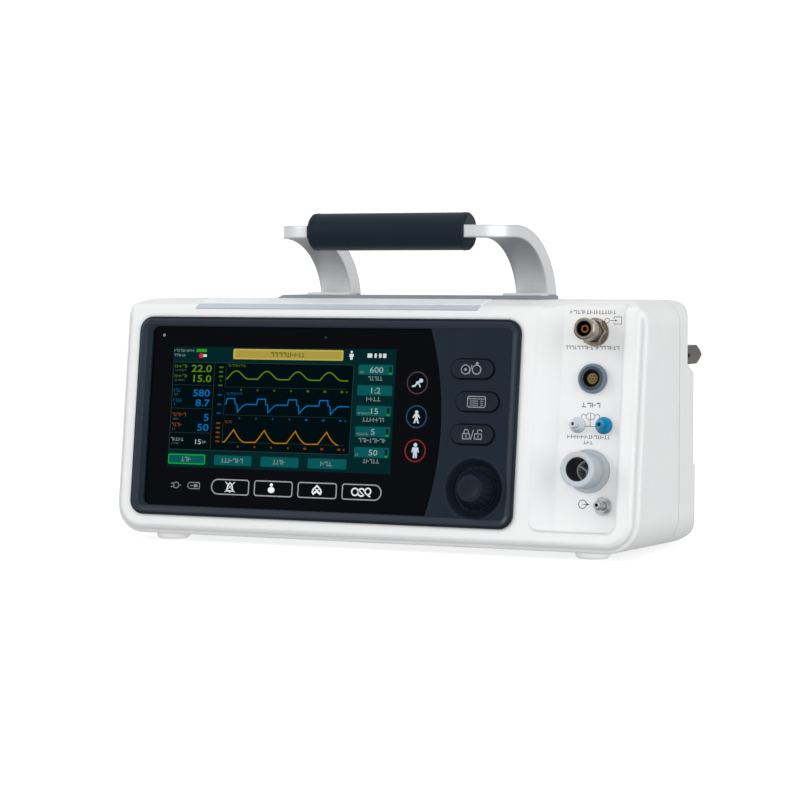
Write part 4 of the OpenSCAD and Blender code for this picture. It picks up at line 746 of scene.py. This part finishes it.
def waves():
    """Four breaths of pressure, flow and carbon dioxide."""
    green, blue, orange = [(-71.4, 92.0)], [(-71.0, 75.0)], [(-71.4, 49.9), (-70.2, 49.9)]
    for i in range(BREATHS):
        move = CYCLE * i
        for k in range(HUMP_STEPS + 1):
            t = k / HUMP_STEPS
            green.append((HUMP_U + move + HUMP_LENGTH * t, HUMP_V + HUMP_HEIGHT * hump(t)))
        blue += [(u + move, v) for u, v in FLOW_SHAPE] + fading(move, *FLOW_FADE)
        orange += [(u + move, v) for u, v in GAS_SHAPE] + fading(move, *GAS_FADE)
    green.append((18.2, 92.0))
    blue.append((19.8, 75.1))
    for points, colour in ((green, "green"), (blue, "blue"), (orange, "orange")):
        trace = Ink()
        trace.line(points, TRACE_WIDTH)
        lit(trace, "wave_" + colour, colour, 4)
    for colour, tick_vs, foot_v, (title_start, title_end, title_v) in TICKS:
        marks = Ink()
        for i, v in enumerate(tick_vs):
            wide = 0.5 if i == len(tick_vs) - 2 and colour == "green" else 1.5
            marks.bar(TICK_U - wide, v - TICK_HALF, TICK_U + wide, v + TICK_HALF, r=0.2)
        for i in range(7):
            u = FOOT_U + FOOT_STEP * i
            wide = 0.5 if i < 4 else 1.0
            marks.bar(u - wide, foot_v - FOOT_HALF, u + wide, foot_v + FOOT_HALF, r=0.2)
        marks.disc(17.6, foot_v, 0.6)
        marks.words(title_start, title_end, title_v, 1.6, 11, gap=0.2)
        lit(marks, "ticks_" + colour, colour + "_dim", 3)


# Measured values: text, right edge, foot and height of the numerals
READINGS = {"green": (("22.0", -82.3, 96.2, 4.9), ("15.0", -82.3, 89.5, 4.8)),
            "blue": (("580", -82.7, 79.9, 4.7), ("8.7", -82.7, 73.3, 4.7),
                     ("5", -82.3, 63.6, 4.8), ("50", -82.3, 56.9, 4.8))}
# Height and length of their names and units
LABEL_U, LABELS = -110.4, {"green": ((99.8, 10.0), (93.3, 11.0)), "blue": ((83.7, 5.6), (77.0, 7.4)),
                           "rust": ((67.4, 10.4), (60.7, 7.6)), "white": ((50.9, 10.6),)}
UNIT_U = -109.9
UNITS = ((97.1, 8.0), (90.5, 8.0), (80.8, 3.0), (74.2, 1.4), (64.5, 4.6), (57.8, 2.4), (48.1, 6.0))


def readings():
    """The column of measured values on the left."""
    for colour, rows in READINGS.items():
        numbers("screen_readings_" + colour, [row + ("RIGHT",) for row in rows], LIT[colour],
                SCREEN_W + LEVEL * 3, bold=0.04, wide=READING_WIDTH)
    numbers("screen_readings_white", [("15", -87.2, 47.9, 3.4, "RIGHT")], LIT["white"],
            SCREEN_W + LEVEL * 3)
    for i, (colour, marks) in enumerate(LABELS.items()):
        ink = Ink()
        for v, length in marks:
            ink.words(LABEL_U, LABEL_U + length, v, 2.3, 31 + i, gap=0.25)
        if colour == "white":
            ink.words(-86.6, -83.0, 49.4, 2.0, 7, gap=0.2)
        lit(ink, "labels_" + colour, "caption" if colour == "white" else colour + "_dim", 3)
    ink = Ink()
    for i, (v, length) in enumerate(UNITS):
        ink.words(UNIT_U, UNIT_U + length, v, 1.3, 41 + i, gap=0.2)
    lit(ink, "units", "grey", 3)


# Set values: text, its middle from the box's left edge, lengths of the caption and of the unit
BOX_U, BOX_TOP, BOX_STEP, BOX_SIZE = 25.1, 102.9, 13.4, (24.7, 6.6)
BOX_ROWS = (("600", 12.9, 10.2, 3.2), ("1:2", 12.6, 11.2, 0), ("15", 12.6, 15.2, 8.4),
            ("5", 12.6, 19.2, 9.2), ("50", 13.4, 11.4, 1.8))
NO_GAUGE = 1


def value_boxes():
    """Set values on the right, each in its box with a small gauge and a caption."""
    boxes, words, gauges, fills = Ink(), Ink(), Ink(), Ink()
    texts = []
    for i, (text, text_u, caption, unit) in enumerate(BOX_ROWS):
        top = BOX_TOP - BOX_STEP * i
        low = top - BOX_SIZE[1]
        middle = BOX_U + BOX_SIZE[0] / 2
        boxes.bar(BOX_U, low, BOX_U + BOX_SIZE[0], top, r=0.7)
        words.words(middle - caption / 2, middle + caption / 2, low - 2.3, 2.7, 61 + i, gap=0.25)
        if unit:
            words.words(BOX_U + 1, BOX_U + 1 + unit, low + 1.7, 1.4, 71 + i, gap=0.2)
        if i != NO_GAUGE:
            gauges.bar(BOX_U + 21.9, low + 0.5, BOX_U + 23.5, top - 1.2)
            fills.bar(BOX_U + 21.8, low + 0.4, BOX_U + 23.6, low + 1.6)
        texts.append((text, BOX_U + text_u, top - 5.2, 3.9, "CENTER"))
    lit(boxes, "boxes", "box", 1)
    lit(words, "box_words", "caption", 2)
    lit(gauges, "gauges", "dark", 2)
    lit(fills, "gauge_fills", "select", 3)
    numbers("screen_values", texts, LIT["value"], SCREEN_W + LEVEL * 2)


SOFT_U, SOFT_STEP, SOFT_SIZE, SOFT_V = -111.5, 34.57, (27.8, 6.6), 34.4
SOFT_WORDS = (8.0, 17.0, 9.6, 9.4)


def soft_keys():
    """Four fields along the foot of the screen, the first one selected."""
    boxes, words, ring = Ink(), Ink(), Ink()
    for i, length in enumerate(SOFT_WORDS):
        u = SOFT_U + SOFT_STEP * i
        middle = u + SOFT_SIZE[0] / 2
        boxes.bar(u, SOFT_V, u + SOFT_SIZE[0], SOFT_V + SOFT_SIZE[1], r=0.8)
        words.words(middle - length / 2, middle + length / 2, SOFT_V + 3.3, 3.0, 81 + i, gap=0.25)
    left, low = SOFT_U + 0.3, SOFT_V + 0.3
    chosen = rounded(left, low, SOFT_U + SOFT_SIZE[0] - 0.3, SOFT_V + SOFT_SIZE[1] - 0.3, 0.8)
    ring.line(chosen, 0.8, closed=True)
    lit(boxes, "soft_keys", "box", 1)
    lit(words, "soft_words", "caption", 2)
    lit(ring, "soft_ring", "select", 2)


MODE_SPANS = ((31.0, 34.4), (36.0, 37.6), (39.2, 41.0), (42.0, 44.4))


def status_row():
    """Clock, battery and alarm marks at the top left, patient and mode marks at the top right."""
    words, battery, bell, pill, person = Ink(), Ink(), Ink(), Ink(), Ink()
    words.words(-111.6, -96.4, 110.4, 1.7, 91, gap=0.3)
    words.words(-111.6, -102.8, 107.2, 1.7, 92, gap=0.3)
    battery.bar(-94.8, 109.5, -87.0, 111.6, r=0.3)
    bell.disc(-91.0, 107.1, 1.6)
    pill.bar(-90.2, 106.3, -86.8, 108.0, r=0.6)
    person.disc(19.6, 111.0, 0.8)
    person.area([(18.3, 109.8), (20.9, 109.8), (21.3, 107.9), (20.6, 107.9), (20.4, 105.9), (18.8, 105.9),
                 (18.6, 107.9), (17.9, 107.9)])
    lit(words, "clock", "caption", 1)
    lit(battery, "battery", "battery", 1)
    lit(pill, "pill", "bright", 1)
    lit(bell, "bell", "red", 2)
    lit(person, "person", "bright", 1)
    mode = Ink()
    for u0, u1 in MODE_SPANS:
        mode.bar(u0, 107.4, u1, 110.2, r=0.4)
    lit(mode, "mode", "bright", 1)


screen_ground()
screen_banner()
waves()
readings()
value_boxes()
soft_keys()
status_row()

# ---------- marks on the touch glass ----------

TOUCH_U, TOUCH_STEP, TOUCH_SIZE, TOUCH_V = -78.0, 31.95, (28.2, 10.3), 15.0
TOUCH_ROUND, TOUCH_SQUARE = 4.8, 1.6
# Middles of the icons on the four keys, and their shared height
BELL_U, SEATED_U, ARROW_U, LOOPS_U, ICON_V = -64.0, -33.4, -0.2, 31.8, 20.2
RING_CENTRES = ((67.2, 91.7), (67.8, 69.9), (68.1, 48.1))
FIGURE_SIZE = 0.92


def touch_keys():
    """Outlines of four touch keys; the row's two ends are rounder."""
    outlines = Ink()
    for i in range(4):
        u = TOUCH_U + TOUCH_STEP * i
        left = TOUCH_ROUND if i == 0 else TOUCH_SQUARE
        right = TOUCH_ROUND if i == 3 else TOUCH_SQUARE
        shape = rounded(u + 0.3, TOUCH_V + 0.3, u + TOUCH_SIZE[0] - 0.3, TOUCH_V + TOUCH_SIZE[1] - 0.3,
                        (left, right, right, left))
        outlines.line(shape, 0.75, closed=True)
    outlines.make("touch_key_outlines", LINE_PRINT, GLASS_W, "touch_glass")


def touch_icons():
    icons = Ink()
    # Crossed bell
    cu, cv = BELL_U, ICON_V
    icons.line(around(cu, cv, [(-2.6, -2.6), (-1.9, -0.8), (-1.5, 1.4), (0, 2.9), (1.5, 1.4), (1.9, -0.8),
                               (2.6, -2.6)]), 0.75, closed=True)
    icons.disc(cu, cv - 3.0, 0.7)
    icons.line(around(cu, cv, [(-3.7, -3.4), (3.5, 3.4)]), 0.5)
    icons.line(around(cu, cv, [(3.7, -3.4), (-3.5, 3.4)]), 0.5)
    # Seated figure
    icons.disc(SEATED_U, 22.6, 1.15)
    icons.disc(SEATED_U, 19.3, 2.5, 0.8)
    # Arrowhead over a bow
    cu = ARROW_U
    icons.line(around(cu, cv, [(-3.4, -1.6), (-2.6, 0.6), (0, 3.1), (2.6, 0.6), (3.4, -1.6)]), 1.0)
    icons.line(around(cu, cv, [(-3.0, -2.6), (0, -0.4), (3.0, -2.6)]), 1.4)
    icons.line(around(cu, cv, [(-1.5, 0.5), (1.5, 0.5)]), 0.5)
    # Linked loops
    cu = LOOPS_U
    icons.ring(cu - 4.6, cv, 2.3, 0.9)
    icons.ring(cu, cv - 0.2, 2.4, 1.0, 20, 320)
    icons.ring(cu + 4.6, cv + 0.6, 2.0, 0.9)
    icons.line(around(cu, cv, [(3.4, -1.2), (6.4, -2.9)]), 0.9)
    icons.line(around(cu, cv, [(-2.2, 1.6), (1.6, -1.9)]), 0.7)
    icons.make("touch_key_icons", ICON_PRINT, GLASS_W, "touch_glass")


def supply_icons():
    small = Ink()
    # Plug
    small.line(arc(-104.4, ICON_V, 2.0, -120, 120, 10, 0.95), 0.6)
    small.line([(-105.3, 22.0), (-106.2, 21.6), (-106.2, 18.8), (-105.3, 18.4)], 0.6)
    small.line([(-108.4, 21.3), (-106.2, 21.3)], 0.6)
    small.line([(-108.4, 19.1), (-106.2, 19.1)], 0.6)
    small.line([(-102.4, ICON_V), (-100.8, ICON_V)], 0.5)
    # Battery
    small.line(rounded(-95.6, 18.2, -86.8, 22.3, (1.9, 0.5, 0.5, 1.9)), 0.6, closed=True)
    small.line([(-93.8, ICON_V), (-91.8, ICON_V)], 0.6)
    small.bar(-91.2, 19.2, -88.4, 21.2, r=0.3)
    small.make("glass_status_icons", DIM_PRINT, GLASS_W, "touch_glass")


def infant(cu, cv):
    """A crawling infant."""
    ink = Ink()
    ink.disc(cu + 2.8, cv + 1.6, 1.5)
    ink.area(around(cu, cv, [(-1.2, 0.6), (1.2, 1.5), (1.9, 0.4), (1.2, -0.8), (-0.2, -1.2)]))
    ink.line(around(cu, cv, [(1.1, -0.2), (2.4, -3.0)]), 0.9)
    ink.line(around(cu, cv, [(-0.4, -0.4), (-1.8, -2.2), (-4.0, -2.5)]), 1.2)
    return ink


def child(cu, cv):
    """A standing child in a short coat."""
    ink = Ink()
    ink.disc(cu, cv + 3.2, 1.3)
    ink.area(around(cu, cv, [(-1.5, 1.9), (1.5, 1.9), (2.9, -0.6), (2.2, -1.0), (1.1, 0.6), (1.0, -1.2),
                             (2.2, -4.6), (0.9, -4.6), (0, -2.0), (-0.9, -4.6), (-2.2, -4.6), (-1.0, -1.2),
                             (-1.1, 0.6), (-2.2, -1.0), (-2.9, -0.6)]))
    return ink


def adult(cu, cv):
    """A standing adult."""
    ink = Ink()
    ink.disc(cu, cv + 4.0, 1.4)
    ink.area(around(cu, cv, [(-2.2, 2.3), (2.2, 2.3), (2.9, -1.2), (2.1, -1.3), (1.5, 0.8), (1.5, -5.2),
                             (0.3, -5.2), (0, -1.2), (-0.3, -5.2), (-1.5, -5.2), (-1.5, 0.8), (-2.1, -1.3),
                             (-2.9, -1.2)]))
    return ink


def patient_rings():
    """Three ringed icons for the kinds of patient."""
    icons = Ink()
    figures = (("infant", infant), ("child", child), ("adult", adult))
    for (cu, cv), material, (name, figure) in zip(RING_CENTRES, RINGS, figures):
        ring = Ink()
        ring.ring(cu, cv, 7.0, 0.85)
        ring.make("ring_" + name, material, GLASS_W, "touch_glass")
        shape = figure(cu, cv)
        shape.shrink(cu, cv, FIGURE_SIZE)
        icons.faces += shape.faces
    icons.make("patient_icons", PALE_ICON, GLASS_W, "touch_glass")


def glass_lenses():
    """Alarm lamp and light sensor behind the glass."""
    lamp = Ink()
    lamp.disc(-120.0, 120.6, 1.0)
    lamp.make("alarm_lamp", DIM_PRINT, GLASS_W, "touch_glass")
    sensor = Ink()
    sensor.disc(0.4, 120.2, 0.7)
    sensor.make("light_sensor", RINGS[1], GLASS_W, "touch_glass")


# The keys' faces are bowed, so their icons start this far below the highest point
KEY_BOW = 0.12
STANDBY_V = 100.6


def key_icons():
    w = KEY_W - KEY_BOW
    # Standby: a ring with a dot, a slash and a ring with a dot above it
    ink = Ink()
    ink.ring(101.4, STANDBY_V, 2.9, 0.6)
    ink.disc(101.4, STANDBY_V, 0.9)
    ink.line([(103.9, STANDBY_V - 3.0), (105.7, STANDBY_V + 2.9)], 0.6)
    ink.ring(109.0, STANDBY_V, 2.9, 0.7)
    ink.disc(109.2, STANDBY_V + 3.9, 1.0)
    ink.make("standby_icon", KEY_PRINT, w, "key_slate", "standby_key")
    # Menu: a window with rows
    ink = Ink()
    ink.line(rounded(103.9, 76.7, 116.1, 83.5, 1.2), 0.6, closed=True)
    ink.line([(104.3, 82.0), (115.7, 82.0)], 0.5)
    for i in range(3):
        v = 80.6 - 1.3 * i
        ink.line([(105.4, v), (111.2, v)], 0.45)
        ink.line([(112.6, v), (114.6, v)], 0.45)
    ink.make("menu_icon", KEY_PRINT, w, "key_slate", "menu_key")
    # Lock: a closed padlock, a slash and an open one
    ink = Ink()
    for cu, aside in ((104.0, 0.0), (112.2, 1.0)):
        ink.line(rounded(cu - 2.4, 56.4, cu + 2.4, 59.8, 0.4), 0.6, closed=True)
        bow = [(cu - 1.5 + aside, 59.9)] + arc(cu + aside, 61.0, 1.5, 180, 0, 8)
        ink.line(bow + ([] if aside else [(cu + 1.5, 59.9)]), 0.6)
        ink.bar(cu - 0.35, 57.3, cu + 0.35, 58.9)
    ink.line([(107.2, 56.0), (109.0, 62.2)], 0.6)
    ink.make("lock_icon", KEY_PRINT, w, "key_slate", "lock_key")


def rim(name, profile, material):
    """Closed moulding around the panel: profile is (inset from the outline, height out of the panel)."""
    u0, v0, u1, v1, r = BEZEL
    bm = bmesh.new()
    loops = []
    for inset, w in profile:
        outline = rounded(u0 + inset, v0 + inset, u1 - inset, v1 - inset, r - inset, steps=10)
        loops.append([bm.verts.new(panel(p[0], p[1], w)) for p in outline])
    for near, after in zip(loops, loops[1:] + loops[:1]):
        for i in range(len(near)):
            k = (i + 1) % len(near)
            bm.faces.new([near[i], near[k], after[k], after[i]])
    return piece(name, bm, material, smooth=40)


EDGE_PROFILE = [(0.06, 0.1), (0.02, 1.1), (0.3, 1.8), (0.8, 2.25), (1.3, 2.4), (1.5, 2.0), (1.5, 0.6),
                (0.9, 0.1)]
RIM_PROFILE = [(1.5, 1.0), (1.5, 2.42), (2.2, 2.6), (3.0, 2.55), (3.8, 2.3), (4.6, 1.9), (5.3, 1.5),
               (6.0, 1.24), (6.0, 1.0)]
KEY_GAP, KEY_GAP_WIDTH = 0.75, 0.7
KNOB_GAP_R, KNOB_GAP_WIDTH = 14.75, 0.9
SEAT_R, SEAT_WIDTH = 20.3, 0.35


def panel_mouldings():
    """The panel's dark edge and raised rim, and painted shadow rings in the gaps round its keys and knob."""
    rim("panel_edge", EDGE_PROFILE, PANEL_EDGE)
    rim("panel_rim", RIM_PROFILE, RIM)
    # Painted shadow: flat dark rings lie on the bezel in the gaps round the keys and knob
    gaps = Ink()
    for cu, cv in KEY_SPOTS:
        half_w, half_h = KEY_SIZE[0] / 2 + KEY_GAP, KEY_SIZE[1] / 2 + KEY_GAP
        oval = rounded(cu - half_w, cv - half_h, cu + half_w, cv + half_h, half_h - 0.01, steps=14)
        gaps.line(oval, KEY_GAP_WIDTH, closed=True)
    gaps.ring(KNOB_U, KNOB_V, KNOB_GAP_R, KNOB_GAP_WIDTH)
    gaps.make("painted_shadow_rings_round_keys", SHADOW_INK, BEZEL_W, "panel_slate")
    line = Ink()
    line.ring(KNOB_U, KNOB_V, SEAT_R, SEAT_WIDTH)
    line.make("knob_seat_line", SEAT_LINE, BEZEL_W, "panel_slate")


def port_details():
    """Painted shade in the wells and bores of the bay's fittings, and their bright rims, from the bay's floor
    outwards.
    """
    at = panel(PORT_U, SOCKET_V, BAY_W)
    # Painted shade: a dark cup lines the socket's well
    lathe("painted_well_shade_in_socket", [(-1.5, 3.5), (-1.5, 5.55), (4.05, 5.55), (4.05, 5.25), (-1.1, 5.25), (-1.1, 3.5)],
          at, OUT, WELL_SHADE)
    lathe("socket_collar", [(4.0, 5.65), (4.0, 7.6), (4.35, 7.5), (4.5, 7.1), (4.5, 6.1), (4.2, 5.65)],
          at, OUT, SOCKET_RING)
    at = panel(PORT_U, PORT_V, BAY_W)
    # Painted shade: a dark sleeve lines the port's bore
    lathe("painted_bore_shade_in_port", [(4.1, 6.6), (4.1, 7.46), (21.4, 7.46), (21.9, 7.3), (21.4, 7.2), (4.6, 7.2),
                         (4.6, 6.6)], at, OUT, PORT_BORE_SHADE)
    lathe("port_lip", [(21.0, 7.5), (22.05, 7.7), (22.3, 8.4), (22.3, 10.2), (22.0, 10.9), (21.0, 11.08),
                       (20.2, 11.08), (20.2, 10.9), (21.0, 10.0)], at, OUT, PORT_LIGHT)
    at = panel(PORT_U, INLET_V, BAY_W)
    # Painted shade: a dark sleeve lines the gas inlet's bore
    lathe("painted_bore_shade_in_inlet", [(8.8, 3.3), (8.8, 4.96), (21.6, 4.96), (21.6, 4.6), (9.2, 4.6), (9.2, 3.3)],
          at, OUT, WELL_SHADE)


# Distance of the grip's bands from its ends
BAND_INSET = 3.4


def grip_bands():
    """Raised bands round both ends of the grip."""
    low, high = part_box("handle_grip")
    radius = (high.z - low.z) / 2 / MM
    middle = (low + high) / 2
    profile = [(0.0, radius - 0.2), (0.0, radius + 0.02), (0.25, radius + 0.22), (0.75, radius + 0.22),
               (1.0, radius + 0.02), (1.0, radius - 0.2)]
    for name, end, inward in (("left", low.x, 1), ("right", high.x, -1)):
        start = Vector((end + inward * BAND_INSET * MM, middle.y, middle.z))
        lathe("grip_band_" + name, profile, start, SIDE * inward, GRIP)


touch_keys()
touch_icons()
supply_icons()
patient_rings()
glass_lenses()
key_icons()
panel_mouldings()
port_details()
grip_bands()

# ---------- print in the connector bay ----------


# Height of the line that joins the two pressure ports, and of the sampling mark
LINK_V, SAMPLE_U, SAMPLE_V = 67.1, 180.7, 18.3
# Rows of words: start, end, middle height and height of the print
BAY_WORDS = ((166.6, 198.0, 139.0, 2.3), (164.6, 200.4, 116.6, 2.3), (177.2, 189.4, 80.5, 3.0),
             (168.4, 197.6, 60.4, 2.3), (179.4, 186.8, 57.0, 2.1))


def bay_print():
    """Words and small signs on the bay's floor."""
    ink = Ink()
    for i, (start, end, v, height) in enumerate(BAY_WORDS):
        ink.words(start, end, v, height, 101 + i, gap=0.3)
    # Gas inlet mark: a ring, a dash and an arrow into a box
    ink.ring(191.2, 133.7, 1.5, 0.4)
    ink.line([(193.4, 133.8), (197.0, 133.8)], 0.4)
    ink.area([(196.6, 133.1), (198.2, 133.8), (196.6, 134.5)])
    ink.line([(195.8, 134.9), (195.8, 136.1), (200.8, 136.1), (200.8, 131.6), (195.8, 131.6), (195.8, 132.7)],
             0.4)
    # Line from port to port with a small valve above it
    ink.line([(PORT_U - 4.6, LINK_V), (PORT_U + 3.0, LINK_V)], 0.35)
    ink.line([(PORT_U - 0.7, LINK_V), (PORT_U - 0.7, 75.0)], 0.35)
    ink.ring(PORT_U - 0.7, 73.3, 2.9, 0.35, 0, 360, 0.75)
    ink.line([(PORT_U - 6.4, 72.6), (PORT_U - 6.8, 73.9), (PORT_U - 5.4, 74.8), (PORT_U - 3.4, 73.9)], 0.35)
    ink.line([(PORT_U + 5.0, 72.6), (PORT_U + 5.4, 73.9), (PORT_U + 4.0, 74.8), (PORT_U + 2.0, 73.9)], 0.35)
    # Sample outlet mark: a ring with an arrow out of it
    ink.ring(SAMPLE_U, SAMPLE_V, 2.6, 0.5)
    ink.line([(SAMPLE_U, SAMPLE_V), (184.2, SAMPLE_V)], 0.4)
    ink.area([(183.6, 17.5), (185.4, SAMPLE_V), (183.6, 19.1)])
    ink.make("bay_print", PRINT, BAY_W, "case_white")


bay_print()
